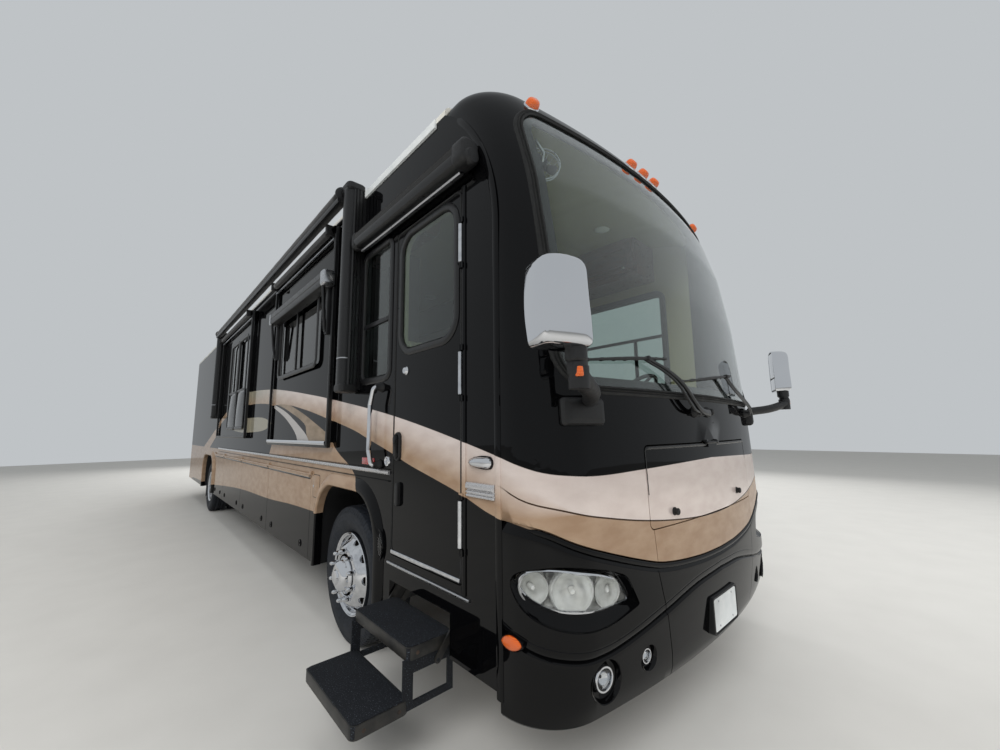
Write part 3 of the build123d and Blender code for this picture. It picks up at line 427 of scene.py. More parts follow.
def along(table, value):
    # Straight lines between the table's pairs
    if value <= table[0][0]:
        return table[0][1]
    for (a, first), (b, second) in zip(table, table[1:]):
        if value <= b:
            return first + (second - first) * (value - a) / (b - a)
    return table[-1][1]


def capPoint(s, z, out=0.0):
    # s runs from 0 at the nose's middle round the corner (1 at the bow's end, 2 at the straight side's start)
    # and on along the side (2 plus metres). Negative s is the other side.
    bow, radius = coach["noseBow"], coach["noseCorner"]
    bowCentre = along(noseTable, z) - bow
    # The corner's arc touches the straight side and the bow
    cornerY = sideY - radius
    corner = Vector((bowCentre + math.sqrt((bow - radius) ** 2 - cornerY ** 2), cornerY))
    reach = (corner - Vector((bowCentre, 0))).normalized()
    size = abs(s)
    bowTurn = math.atan2(reach.y, reach.x)
    if size <= 2:
        turn = bowTurn * size if size <= 1 else bowTurn + (math.pi / 2 - bowTurn) * (size - 1)
        normal = Vector((math.cos(turn), math.sin(turn)))
        point = Vector((bowCentre, 0)) + bow * normal if size <= 1 else corner + radius * normal
    else:
        normal = Vector((0, 1))
        point = Vector((corner.x - (size - 2), sideY))
    point = point + out * normal
    return Vector((point.x, math.copysign(point.y, -s) if s else 0.0, z))


def capS(y, z):
    # The s of the point of the cap at this y (right side is y below zero and has s above zero)
    low, high = 0.0, 2.0
    for i in range(30):
        middle = (low + high) / 2
        if abs(capPoint(middle, z).y) < abs(y):
            low = middle
        else:
            high = middle
    return math.copysign((low + high) / 2, -y)


def capAt(y, z, out=0.0):
    return capPoint(capS(y, z), z, out)


# Painted graphics in millimetres. Side curves are (x, z) on the body side; nose curves are (y, z) from the corner
# to the middle. The silver and tan blades cross the front room, whose face stands 50 mm further out.
graphics = {
    "bandTop": ((-3676, 2099), (-3271, 2091), (-2787, 2066), (-2227, 2023), (-1748, 1972), (-1239, 1909),
        (-890, 1862), (-513, 1810), (-249, 1769), (247, 1692), (712, 1612), (1133, 1527), (1432, 1460),
        (1700, 1396)),
    "noseTop": ((1266, 1349), (1215, 1326), (1144, 1317), (1004, 1310), (736, 1318), (387, 1330), (0, 1340)),
    "bandLow": ((-3614, 1916), (-2736, 1886), (-2448, 1862), (-2177, 1830), (-1828, 1825), (-1503, 1797),
        (-1077, 1740), (-634, 1669), (-229, 1592), (164, 1516), (330, 1473), (724, 1375), (939, 1316), (1139, 1271),
        (1433, 1203), (1703, 1128)),
    "noseLow": ((1266, 1102), (1184, 1061), (1034, 1010), (786, 934), (601, 887), (270, 856), (0, 851)),
    "noseCrease": ((1267, 1208), (1180, 1178), (1021, 1139), (693, 1084), (400, 1053), (200, 1040), (0, 1036)),
    "silverLow": ((-3600, 1950), (-2500, 1930), (-1200, 1820), (-200, 1690), (700, 1510), (1100, 1420),
        (1700, 1270)),
    "rearTop": ((-7385, 1381), (-6469, 1605), (-5353, 1860), (-4600, 2010), (-4100, 2080), (-3676, 2099)),
    "rearLow": ((-6616, 1388), (-6103, 1549), (-5709, 1697), (-5000, 1830), (-4300, 1900), (-3614, 1916)),
    "silverOuter": ((-2200, 1860), (-1883, 1799), (-1557, 1726), (-1282, 1642), (-1031, 1555), (-876, 1493),
        (-780, 1434), (-720, 1400), (-400, 1400)),
    "silverInner": ((-2200, 1830), (-1952, 1769), (-1689, 1699), (-1445, 1616), (-1260, 1535), (-1161, 1476),
        (-1120, 1424), (-1080, 1400), (-400, 1400)),
    "tanOuter": ((-2200, 1900), (-1601, 1826), (-1222, 1747), (-906, 1670), (-693, 1609), (-497, 1553), (-346, 1507),
        (-285, 1487), (-235, 1418), (-78, 1337), (85, 1277), (188, 1224), (265, 1153), (305, 1072)),
    "tanInner": ((-2200, 1870), (-1734, 1792), (-1335, 1704), (-1045, 1630), (-900, 1572), (-886, 1500),
        (-780, 1434), (-720, 1400), (-200, 1400)),
    "tearTop": ((-4737, 1586), (-4200, 1672), (-3462, 1727), (-2870, 1717), (-2500, 1680), (-2244, 1631)),
    "tearLow": ((-4737, 1586), (-4200, 1545), (-3600, 1528), (-3134, 1531), (-2600, 1555), (-2244, 1631)),
    "tanLow": ((-9900, 470), (-8600, 500), (-7400, 530), (-6200, 585), (-4900, 672), (-3576, 743), (-2163, 778),
        (-1308, 820), (-620, 840)),
}


def curvesOf(*names):
    # The named curves as (developed place, height): x less the distance from the coach's middle plane
    points = []
    for name in names:
        for a, z in mm(graphics[name]):
            if name.startswith("nose"):
                points.append((capAt(-a, z).x - a, z))
            else:
                out = coach["roomFace"] if name.endswith(("Outer", "Inner")) else sideY
                points.append((a - out, z))
    return points


# Materials
colours = {
    "blackPaint": "050506", "silverPaint": "d0c2bb", "tanPaint": "9b8068", "oliveSilver": "948e7c",
    # interiorWall is a beige darkened as painted shade of the cab's inside
    "pearl": "dfd2cb", "interiorWall": "a89c7c",
}
# The painted curves' range: developed place, then height
paintRange = (-11.2, 2.3, 0.3, 2.3)


def curveOf(tree, value, points):
    # A height read from given points along the developed side
    low, high, floorZ, topZ = paintRange
    node = addNode(tree, "ShaderNodeFloatCurve", {"Value": remap(tree, value, low, high)})
    curve = node.mapping.curves[0]
    for i, (place, z) in enumerate(sorted(points)):
        spot = ((place - low) / (high - low), (z - floorZ) / (topZ - floorZ))
        if i < 2:
            curve.points[i].location = spot
        else:
            curve.points.new(*spot)
    for point in curve.points:
        point.handle_type = "AUTO_CLAMPED"
    node.mapping.update()
    return remap(tree, node.outputs[0], 0.0, 1.0, floorZ, topZ)


def between(tree, height, low, top, edge=0.0015):
    # 1 between the two heights, 0 outside, with an edge as thin as masking tape leaves
    above = remap(tree, math2(tree, "SUBTRACT", height, low), -edge, edge)
    below = remap(tree, math2(tree, "SUBTRACT", top, height), -edge, edge)
    return math2(tree, "MULTIPLY", above, below)


# Urethane base coat under clear coat, sprayed in masked areas: deep black, with pearl flake in the pale areas
def makeCoachPaint():
    material, tree, output, place = newMaterial("urethaneCoachPaint")
    x, y, z = addNode(tree, "ShaderNodeSeparateXYZ", {0: place}).outputs
    w = math2(tree, "SUBTRACT", x, math2(tree, "ABSOLUTE", y))
    paints = {name: hexColour(code) for name, code in colours.items()}

    def curve(*names, more=()):
        return curveOf(tree, w, list(more) + curvesOf(*names))

    def span(low, high):
        return between(tree, w, low, high, 0.002)

    def lay(under, over, *masks):
        total = masks[0]
        for mask in masks[1:]:
            total = math2(tree, "MULTIPLY", total, mask)
        return mixColour(tree, total, under, over)

    bandTop = curve("bandTop", "noseTop", more=curvesOf("rearTop")[:-1])
    bandLow = curve("bandLow", "noseLow", more=curvesOf("rearLow")[:-1])
    silverLow = curve("silverLow", "noseCrease")
    band = between(tree, z, bandLow, bandTop)
    # Behind the nose's corner the silver fades into the tan over a hand's breadth
    fade = remap(tree, w, 0.5, 0.9, 0.09, 0.002)
    belowSilver = math2(tree, "SUBTRACT", silverLow, z)
    tanShare = remap(tree, math2(tree, "DIVIDE", belowSilver, fade), -1.0, 1.0)
    silverBlade = between(tree, z, curve("silverInner"), curve("silverOuter"))
    bladeSpan = span(-3.4, -2.05)
    tanOuter = curve("tanOuter")
    tanBlade = between(tree, z, curve("tanInner"), tanOuter)
    tanBladeSpan = span(-3.3, -1.6)
    tear = between(tree, z, curve("tearLow"), curve("tearTop"))
    tearSpan = span(-6.02, -3.53)
    # The tan field below the belt, and up to the rooms' foot ahead of the second room
    fieldTop = math2(tree, "MINIMUM", tanOuter, remap(tree, w, -3.6, -3.45, 1.245, 1.43))
    field = between(tree, z, curve("tanLow"), fieldTop)
    fieldSpan = span(-12.5, -0.93)

    mottle = remap(tree, noiseAt(tree, place, 140, 5.0, (1, 1, 2.4)), 0.35, 0.68)
    silver = lay(paints["silverPaint"], paints["pearl"], mottle)
    silver = lay(silver, paints["oliveSilver"], remap(tree, w, -2.6, -4.6))
    tan = lay(paints["tanPaint"], hexColour("ab927a"), mottle)
    bandColour = lay(silver, tan, tanShare)
    colour = lay(paints["blackPaint"], tan, field, fieldSpan)
    colour = lay(colour, paints["oliveSilver"], tear, tearSpan)
    bronze = lay(hexColour("7d6c56"), hexColour("93806a"), mottle)
    colour = lay(colour, bronze, tanBlade, tanBladeSpan)
    colour = lay(colour, hexColour("b3aeaa"), silverBlade, bladeSpan)
    colour = lay(colour, bandColour, band)
    # Fine dark pinstripe where silver meets tan on the nose
    stripe = math2(tree, "LESS_THAN", math2(tree, "ABSOLUTE", math2(tree, "ADD", belowSilver, 0.002)), 0.0035)
    colour = lay(colour, hexColour("3a2b20"), stripe, remap(tree, w, 0.42, 0.5))
    # The lining shows on faces that look towards the middle of the coach, in a beige darkened as painted shade of the
    # cab's inside
    inward = addNode(tree, "ShaderNodeSeparateXYZ", {0: addNode(tree, "ShaderNodeTexCoord").outputs["Normal"]})
    side = math2(tree, "MULTIPLY", math2(tree, "SIGN", y), inward.outputs[1])
    foot = remap(tree, x, 0.6, 0.7, 1.21, 0.4)
    ahead, above = math2(tree, "LESS_THAN", x, 1.6), math2(tree, "GREATER_THAN", z, foot)
    within = math2(tree, "MULTIPLY", ahead, above)
    colour = lay(colour, paints["interiorWall"], math2(tree, "LESS_THAN", side, -0.5), within)
    pale = math2(tree, "MULTIPLY", addNode(tree, "ShaderNodeRGBToBW", {0: colour}).outputs[0], 0.5)
    sparkle = remap(tree, noiseAt(tree, place, 1.5, 1.0), 0.55, 0.75, 0.0, 0.25)
    rough = remap(tree, noiseAt(tree, place, 900), 0.3, 0.7, 0.16, 0.24)
    peel = bumpFrom(tree, noiseAt(tree, place, 9, 1.0), 0.012)
    metal = math2(tree, "ADD", pale, math2(tree, "MULTIPLY", sparkle, pale))
    surface(tree, output, Base_Color=colour, Metallic=metal, Roughness=rough, Normal=peel, IOR=1.45, **deepCoat)
    return material


def simpleFinish(name, code, second, roughness, patternMm, metallic=0.0, bumpMm=0.0, spread=0.06, stretch=(1, 1, 1),
                 **more):
    # Two close tones in a soft pattern, with roughness that drifts
    material, tree, output, place = newMaterial(name)
    pattern = noiseAt(tree, place, patternMm, 3.0, stretch)
    colour = mixColour(tree, remap(tree, pattern, 0.35, 0.65), hexColour(code), hexColour(second))
    drift = remap(tree, noiseAt(tree, place, patternMm * 7), 0.3, 0.7, roughness - spread, roughness + spread)
    inputs = {"Base_Color": colour, "Roughness": drift, "Metallic": metallic, **more}
    if bumpMm:
        inputs["Normal"] = bumpFrom(tree, pattern, bumpMm)
    surface(tree, output, **inputs)
    return material


def makeGlass(name, tint, roughness=0.0):
    # Camera rays see a solid pane. Shadow rays pass through, so the cab is lit as through real glass.
    material, tree, output, place = newMaterial(name)
    dust = remap(tree, noiseAt(tree, place, 260, 4.0), 0.45, 0.8, roughness, roughness + 0.03)
    shader = surface(tree, output, Base_Color=hexColour(tint), Roughness=dust, IOR=1.5, Transmission_Weight=1.0)
    through = addNode(tree, "ShaderNodeBsdfTransparent", {"Color": hexColour(tint)})
    path = addNode(tree, "ShaderNodeLightPath")
    either = math2(tree, "MAXIMUM", path.outputs["Is Shadow Ray"], path.outputs["Is Diffuse Ray"])
    mix = addNode(tree, "ShaderNodeMixShader", {0: either, 1: shader.outputs[0], 2: through.outputs[0]})
    tree.links.new(mix.outputs[0], output.inputs[0])
    return material


deepCoat = {"Coat_Weight": 0.6, "Coat_Roughness": 0.03, "Coat_IOR": 1.4, "Specular_IOR_Level": 0.0}
coachPaint = makeCoachPaint()
# Fibreglass cap in the same black: the deepest gloss on the coach
blackGloss = simpleFinish("blackGelcoat", "050506", "080809", 0.14, 900, **deepCoat)
# Chromium plate on brass and ABS: near mirror, a touch of haze
chrome = simpleFinish("chromiumPlate", "d9dadd", "d4d6da", 0.06, 400, 1.0, spread=0.02)
# Extruded aluminium, clear anodised: satin with faint drawing lines
satinAluminium = simpleFinish("anodisedAluminium", "c7c8ca", "b6b8bc", 0.3, 4, 1.0, spread=0.05, stretch=(0.02, 1, 1))
# Aluminium extrusion in black powder coat: fine orange peel, soft highlights
blackPowder = simpleFinish("blackPowderCoat", "0b0b0c", "131314", 0.33, 3, bumpMm=0.05)
# Moulded ABS with a grained skin: dull black
blackMoulded = simpleFinish("grainedBlackAbs", "101011", "1a1a1b", 0.52, 2.2, bumpMm=0.12)
# EPDM gasket and hose rubber: matt, dusty in the recesses
rubber = simpleFinish("epdmRubber", "0f0f10", "1c1c1b", 0.7, 12, bumpMm=0.05)
# Tyre compound: carbon black in two close tones, with a blue-grey cast that is a painted reflection of the sky
tyreRubber = simpleFinish("tyreCompound", "14171c", "20242b", 0.74, 18, bumpMm=0.1)
# Hot-rolled steel in chassis black: satin, dust on the flats
chassisPaint = simpleFinish("chassisBlackEnamel", "151515", "2b2926", 0.5, 60, bumpMm=0.08)
# Forged aluminium wheel, hand polished: bright with long soft streaks
polishedWheel = simpleFinish("polishedForgedAluminium", "d8d9dc", "c3c5c9", 0.12, 35, 1.0, spread=0.05)
# Cast iron hub and drum: rough and rusty brown in places
castIron = simpleFinish("castIron", "3a3532", "5a4a40", 0.78, 22, 0.4, bumpMm=0.3)
# Injection-moulded white ABS shroud: soft satin, chalky from the sun
whiteShroud = simpleFinish("whiteAbs", "e4e3de", "d8d6cf", 0.42, 240, bumpMm=0.03)
# Gel-coated roof sheet: off-white, chalked, with faint dirt
roofSheet = simpleFinish("chalkedGelcoat", "dfddd5", "cbc8be", 0.5, 320, bumpMm=0.05)
# Vinyl-wrapped foam ceiling, very matt, in a beige darkened to olive as painted shade of the cab
headliner = simpleFinish("paddedVinylHeadliner", "8f8a62", "99946e", 0.72, 7, bumpMm=0.15)
# Soft-touch slush-moulded dash skin: near black with a leather grain
dashSkin = simpleFinish("slushMouldedDash", "1b1a19", "262423", 0.6, 3, bumpMm=0.2)
# Stitched ultraleather: warm cream with a fine pebble
seatLeather = simpleFinish("creamUltraleather", "b8a888", "c6b797", 0.46, 3.2, bumpMm=0.15, Sheen_Weight=0.1)
# Cherry veneer under satin lacquer: long dark grain
cherryWood = simpleFinish("cherryVeneer", "3b1f12", "5a3019", 0.32, 6, stretch=(0.06, 1, 1), bumpMm=0.03,
                          Coat_Weight=0.4, Coat_Roughness=0.15)
# Porcelain tile floor: pale stone clouds
tileFloor = simpleFinish("porcelainTile", "a3947b", "b9ab92", 0.3, 160, bumpMm=0.05)
# Silver-painted mouldings: flat silver under clear coat
silverTrim = simpleFinish("silverPaintedMoulding", "b9b8ba", "c6c5c6", 0.26, 5, 0.7, Coat_Weight=0.6,
                          Coat_Roughness=0.08)
# Baked white enamel on thin aluminium plate
plateEnamel = simpleFinish("bakedPlateEnamel", "dfe1e0", "d0d4d4", 0.3, 90, bumpMm=0.02)
# Aluminised bowl behind the lens
reflector = simpleFinish("aluminisedReflector", "f2f2f0", "e4e4e0", 0.2, 30, 0.55)
clearGlass = makeGlass("laminatedSafetyGlass", "e9f2ef")
tintedGlass = makeGlass("privacyGlass", "39403f")
# Tempered glass of the cab side: a light green tint in the melt
cabGlass = makeGlass("temperedSideGlass", "a9b8b3")
lensGlass = makeGlass("polycarbonateLens", "f4f6f6", 0.02)


def makeLens(name, code, deep):
    # Moulded acrylic with prisms behind its face: colour pools in the ribs
    material, tree, output, place = newMaterial(name)
    ribs = waveAt(tree, place, 60.0, "Z")
    colour = mixColour(tree, ribs, hexColour(code), hexColour(deep))
    surface(tree, output, Base_Color=colour, Roughness=0.12, IOR=1.49, Transmission_Weight=0.25, Coat_Weight=0.8,
            Coat_Roughness=0.03, Normal=bumpFrom(tree, ribs, 0.4))
    return material


def makeAwningFabric():
    # Solution-dyed acrylic, plain weave: matt black-brown threads (drawn 4 mm apart, so that they show)
    material, tree, output, place = newMaterial("wovenAcrylicCanvas")
    weave = math2(tree, "MULTIPLY", waveAt(tree, place, 80.0, "X"), waveAt(tree, place, 80.0, "Y"))
    colour = mixColour(tree, weave, hexColour("0c0c0d"), hexColour("232120"))
    surface(tree, output, Base_Color=colour, Roughness=0.85, Sheen_Weight=0.25, Normal=bumpFrom(tree, weave, 0.4))
    return material


def makeGrit():
    # Grit-coated step tread: black resin with bright mineral grains
    material, tree, output, place = newMaterial("gritCoatedTread")
    grain = addNode(tree, "ShaderNodeTexVoronoi", {"Vector": place, "Scale": 240.0}).outputs["Distance"]
    spark = remap(tree, noiseAt(tree, place, 5), 0.62, 0.72)
    colour = mixColour(tree, spark, hexColour("16181c"), hexColour("5b626c"))
    surface(tree, output, Base_Color=colour, Roughness=0.9, Normal=bumpFrom(tree, grain, 0.9))
    return material


amberLens = makeLens("amberAcrylicLens", "ff7a10", "d94f06")
redLens = makeLens("redAcrylicLens", "d01414", "7d0608")
awningFabric = makeAwningFabric()
gritTread = makeGrit()
print("materials made:", len(bpy.data.materials))


# CAD nodes that keep their own shape, with their finishes
finishes = (
    (coachPaint, "right_wall left_wall front_cap rear_cap right_front_room right_rear_room left_room entry_door"
                 " front_hatch engine_door"),
    (roofSheet, "roof"), (tileFloor, "floor"), (gritTread, "entry_steps"), (seatLeather, "cab_seats"),
    (chassisPaint, "storage_bays chassis_frame front_axle rear_axle step_inner_links step_outer_links"),
    (castIron, "engine right_knuckle left_knuckle"), (dashSkin, "dashboard steering_wheel"),
    (clearGlass, "windshield"), (cabGlass, "side_windows entry_door_window"),
    (tintedGlass, "right_front_room_windows right_rear_room_windows left_room_windows"),
    (reflector, "front_lamps"), (redLens, "tail_lamps"), (amberLens, "marker_lamps"),
    (chrome, "mirrors grab_handle"), (blackMoulded, "wipers"), (blackPowder, "patio_awning door_awning"),
    (whiteShroud, "roof_air_conditioners"),
)
nodeFinish = {node: material for material, names in finishes for node in names.split()}
for name in nodes:
    if "_luggage_door_" in name:
        nodeFinish[name] = coachPaint
    elif name.endswith("_rim"):
        nodeFinish[name] = polishedWheel
    elif "_tyre" in name:
        nodeFinish[name] = tyreRubber
    paint(nodes[name].data, nodeFinish[name])
print("CAD nodes finished:", len(nodeFinish))


# Nose: developed distance from the middle line to the bow's end and to the corner's end
bowTurn = math.atan2(sideY - coach["noseCorner"],
                     math.sqrt((coach["noseBow"] - coach["noseCorner"]) ** 2 - (sideY - coach["noseCorner"]) ** 2))
bowReach = coach["noseBow"] * bowTurn
cornerReach = bowReach + coach["noseCorner"] * (math.pi / 2 - bowTurn)
bumper = {
    "wall": 0.008, "columns": 200, "grooveDepth": 0.016, "ledgeTop": 0.058, "sideReach": 0.055,
    "gap": 0.0025,
}


def nosePoint(u, z, out=0.0, seamed=True):
    # As capPoint, by developed distance. Where seamed, the straight side is stretched to end at the cap's seam.
    size = abs(u)
    if size <= bowReach:
        s = size / bowReach
    elif size <= cornerReach:
        s = 1 + (size - bowReach) / (cornerReach - bowReach)
    else:
        s = 2 + size - cornerReach
    point = capPoint(math.copysign(s, u), z, out)
    if size > cornerReach and seamed:
        start = capPoint(2.0, z).x
        point.x = start + (coach["seamX"] + 0.002 - start) * (size - cornerReach) / bumper["sideReach"]
    return point


def easeAlong(table, value):
    # A smooth curve through the table's pairs
    def slope(i):
        a, b = max(i - 1, 0), min(i + 1, len(table) - 1)
        return (table[b][1] - table[a][1]) / (table[b][0] - table[a][0])

    if value <= table[0][0]:
        return table[0][1]
    for i, ((x0, y0), (x1, y1)) in enumerate(zip(table, table[1:])):
        if value <= x1:
            span = x1 - x0
            t = (value - x0) / span
            return ((2 * t ** 3 - 3 * t ** 2 + 1) * y0 + (t ** 3 - 2 * t ** 2 + t) * span * slope(i)
                    + (3 * t ** 2 - 2 * t ** 3) * y1 + (t ** 3 - t ** 2) * span * slope(i + 1))
    return table[-1][1]


# Lines round the nose: (developed distance from the middle, height)
noseLines = {
    "foot": mm(((0, 345), (900, 345), (1200, 340), (1550, 335))),
    "bumperLedge": mm(((0, 728), (310, 712), (635, 656), (950, 598), (1100, 592), (1200, 600), (1330, 618),
                       (1500, 660))),
    "bandLow": mm(((0, 851), (270, 858), (600, 888), (790, 934), (1030, 1008), (1150, 1050), (1270, 1098),
                   (1360, 1115), (1500, 1125))),
}


def lineHeight(name, u):
    if name == "aboveLedge":
        return easeAlong(noseLines["bumperLedge"], u) + bumper["ledgeTop"]
    if name == "belowBand":
        return easeAlong(noseLines["bandLow"], u) - 0.05
    return easeAlong(noseLines[name], u)


def bumperSkin():
    # Rows follow the foot, the bumper's ledge and the painted band's lower edge: (line, second line, share of the
    # way to it, lift, depth)
    rows = []
    for share in (0.0, 0.015, 0.06, 0.2, 0.4, 0.6, 0.8, 0.93):
        rows.append(("foot", "bumperLedge", share, 0.0, -0.02 * (1 - min(1, share / 0.06)) ** 2))
    # The ledge: the bumper's top edge rolls in, then the body above rolls out to a fine crease
    for lift, depth in ((-6, 0), (-2, -1), (1, -4), (6, -12), (12, -9.6), (22, -4.2), (36, -0.96), (46, 0),
                        (49, -1.44), (52, 0), (58, 0)):
        rows.append(("bumperLedge", None, 0.0, lift / 1000, depth / 1000))
    for share in (0.2, 0.4, 0.6, 0.8):
        rows.append(("aboveLedge", "belowBand", share, 0.0, 0.0))
    # The groove under the painted band: a long upward slope, then the band's own lip
    for drop, inward in ((-50, 0.0), (-45, -0.05), (-41, -0.15), (-12, -1.0), (-6, -1.0), (-1, -0.6), (0.5, -0.12),
                         (3, 0.0)):
        rows.append(("bandLow", None, 0.0, drop / 1000, inward * bumper["grooveDepth"]))
    far = cornerReach + bumper["sideReach"]
    rings = []
    for line, second, share, lift, depth in rows:
        ring = []
        for u in spread(-far, far, bumper["columns"]):
            height = lineHeight(line, abs(u)) + lift
            if second:
                height += (lineHeight(second, abs(u)) - height) * share
            ring.append(nosePoint(u, height, depth))
        rings.append(ring)
    shape = Shape()
    shape.rings(rings, closedRings=False, capped=False)
    skin = shape.make("nose_bumper_skin", coachPaint, "front_cap", 28, outward=False)
    # The faces must look outwards before the wall is given its thickness
    bm = bmesh.new()
    bm.from_mesh(skin.data)
    middle = min(bm.faces, key=lambda face: (face.calc_center_median() - Vector((2.15, 0, 0.6))).length)
    if middle.normal.x < 0:
        bmesh.ops.reverse_faces(bm, faces=bm.faces)
    bm.to_mesh(skin.data)
    bm.free()
    giveWall(skin, bumper["wall"], -1)
    return skin


# Head lamps: the facing plane is turned outboard, s runs outboard and height is about the lamp's middle
headLamp = {
    "origin": (1.28, -0.6425, 0.84), "turn": math.radians(38), "centre": (-0.07, 0.012),
    "recess": mm(((206, 41), (168, 95), (4, 130), (-170, 101), (-315, 45), (-378, -89), (-217, -133), (-70, -132),
                  (70, -104), (165, -55))),
    "lens": mm(((182, 41), (140, 93), (5, 108), (-169, 74), (-285, 20), (-335, -72), (-180, -82), (-30, -74),
                (70, -50), (150, -6))),
    "corners": mm((40, 60, 90, 90, 40, 12, 60, 90, 80, 60)),
    "bowls": mm(((98, 20, 60), (-55, 8, 83), (-212, -15, 62))),
}
lampAhead = Vector((math.cos(headLamp["turn"]), -math.sin(headLamp["turn"]), 0))
lampOutboard = Vector((-math.sin(headLamp["turn"]), -math.cos(headLamp["turn"]), 0))


def lampPoint(s, height, depth):
    return Vector(headLamp["origin"]) + s * lampOutboard + depth * lampAhead + height * up


def lampHit(s, height, inset=0.0):
    # Where the facing line meets the nose, less an inset
    low, high = 0.2, 1.3
    for i in range(30):
        middle = (low + high) / 2
        point = lampPoint(s, height, middle)
        if abs(point.y) < sideY and point.x < capAt(point.y, point.z).x:
            low = middle
        else:
            high = middle
    return lampPoint(s, height, low - inset)


def lampOutline(name):
    return evenly(roundCorners(headLamp[name], headLamp["corners"], 6), 96)


def headLampUnit():
    # Recess wall from the body's edge down to the lens, then the lens, chrome bowls and housing
    recess, lens = lampOutline("recess"), lampOutline("lens")
    centre = Vector(headLamp["centre"])
    wall, rim, glass, housing, bowls = Shape(), Shape(), Shape(), Shape(), Shape()
    rings = [[lampHit(s, h, inset) for s, h in recess] for inset in (0.012, 0.0)]
    for share, inset in ((0.0, 0.001), (0.12, 0.012), (0.5, 0.028), (0.9, 0.042), (1.0, 0.048), (1.0, 0.075)):
        rings.append([lampHit(*(a.lerp(b, share)), inset) for a, b in zip(recess, lens)])
    wall.rings(rings, capped=False)
    rim.stack(lens, lampHit, mm(((46, 0), (38, 4), (36, 12), (42, 18), (60, 18))), centre, capped=False)
    rings = []
    for share in spread(0, 1, 12):
        inset = 0.038 - 0.012 * (1 - share) ** 0.5 if share < 1 else 0.04
        rings.append([lampHit(*(centre.lerp(shrink(p, centre, 0.006), max(share, 0.001))), inset) for p in lens])
    glass.rings(rings, capped=False)
    housing.stack(lens, lampHit, mm(((50, 12), (100, 16), (125, 50), (130, 120))), centre, capped=False)
    housing.capLast(len(lens))
    for s, h, radius in headLamp["bowls"]:
        face = lampHit(s, h, 0.062)
        # A flared chrome rim, the parabola, and the lamp in its middle
        profile = [(-0.03, radius * 1.1), (0.0, radius * 1.08), (0.006, radius * 1.02), (0.0, radius * 0.97)]
        for i in range(9):
            r = radius * 0.95 * (1 - i / 9)
            profile.append((-0.055 + 0.05 * (r / radius) ** 2, r))
        bowls.lathe(face, lampAhead, profile + [(-0.056, 0.012)], 48)
        bowls.lathe(face, lampAhead, mm(((-50, 0), (-50, 12), (-12, 12), (-4, 8), (-2, 0))), 24)
    return (("recess", wall, blackGloss), ("rim", rim, chrome), ("housing", housing, reflector),
            ("bowls", bowls, reflector), ("lens", glass, lensGlass))


# Bumper lamps: place across, height, recess radius, ring radius
fogLamps = {"outer": (1.011, 0.505, 0.082, 0.047), "inner": (0.745, 0.515, 0.052, 0.03)}


def facing(y, z):
    # A point of the cap and the level direction out of it
    face = capAt(y, z)
    return face, (capAt(y, z, 1.0) - face).normalized()


def fogUnit(across, height, recess, ring):
    # A black dished recess with a chrome ring, a bowl and a domed lens
    dish, band, lens = Shape(), Shape(), Shape()
    face, ahead = facing(-across, height)
    dish.lathe(face, ahead, [(0.002, recess * 1.015), (0.0, recess * 0.97), (-0.022, recess * 0.86),
                             (-0.03, ring * 1.08), (-0.045, ring * 1.05), (-0.06, 0.001)], 48)
    profile = [(depth, ring * share) for depth, share in (
        (-0.03, 1.08), (-0.016, 1.08), (-0.012, 1.02), (-0.012, 0.88), (-0.02, 0.84), (-0.026, 0.84))]
    for i in range(7):
        r = ring * 0.82 * (1 - i / 7)
        profile.append((-0.05 + 0.022 * (r / ring) ** 2, r))
    band.lathe(face, ahead, profile, 48)
    dome = [(-0.012 - 0.008 * (i / 6) ** 2, ring * 0.84 * i / 6) for i in (5, 3, 1)]
    lens.lathe(face, ahead, [(-0.02, ring * 0.85)] + dome + [(-0.012, 0.0)], 40)
    return ("dish", dish, blackGloss), ("ring", band, chrome), ("lens", lens, lensGlass)


def slitCutter(topY, topZ, footY, footZ):
    # Thin upright cuts through the cap, one on each side
    gap = bumper["gap"]
    shape = Shape()
    for sign in (-1, 1):
        top, foot = sign * topY, sign * footY
        outline = [(top - gap, topZ), (top + gap, topZ), (foot + gap, footZ), (foot - gap, footZ)]
        shape.rings([[Vector((x, a, b)) for a, b in outline] for x in (1.9, 2.4)])
    return shape


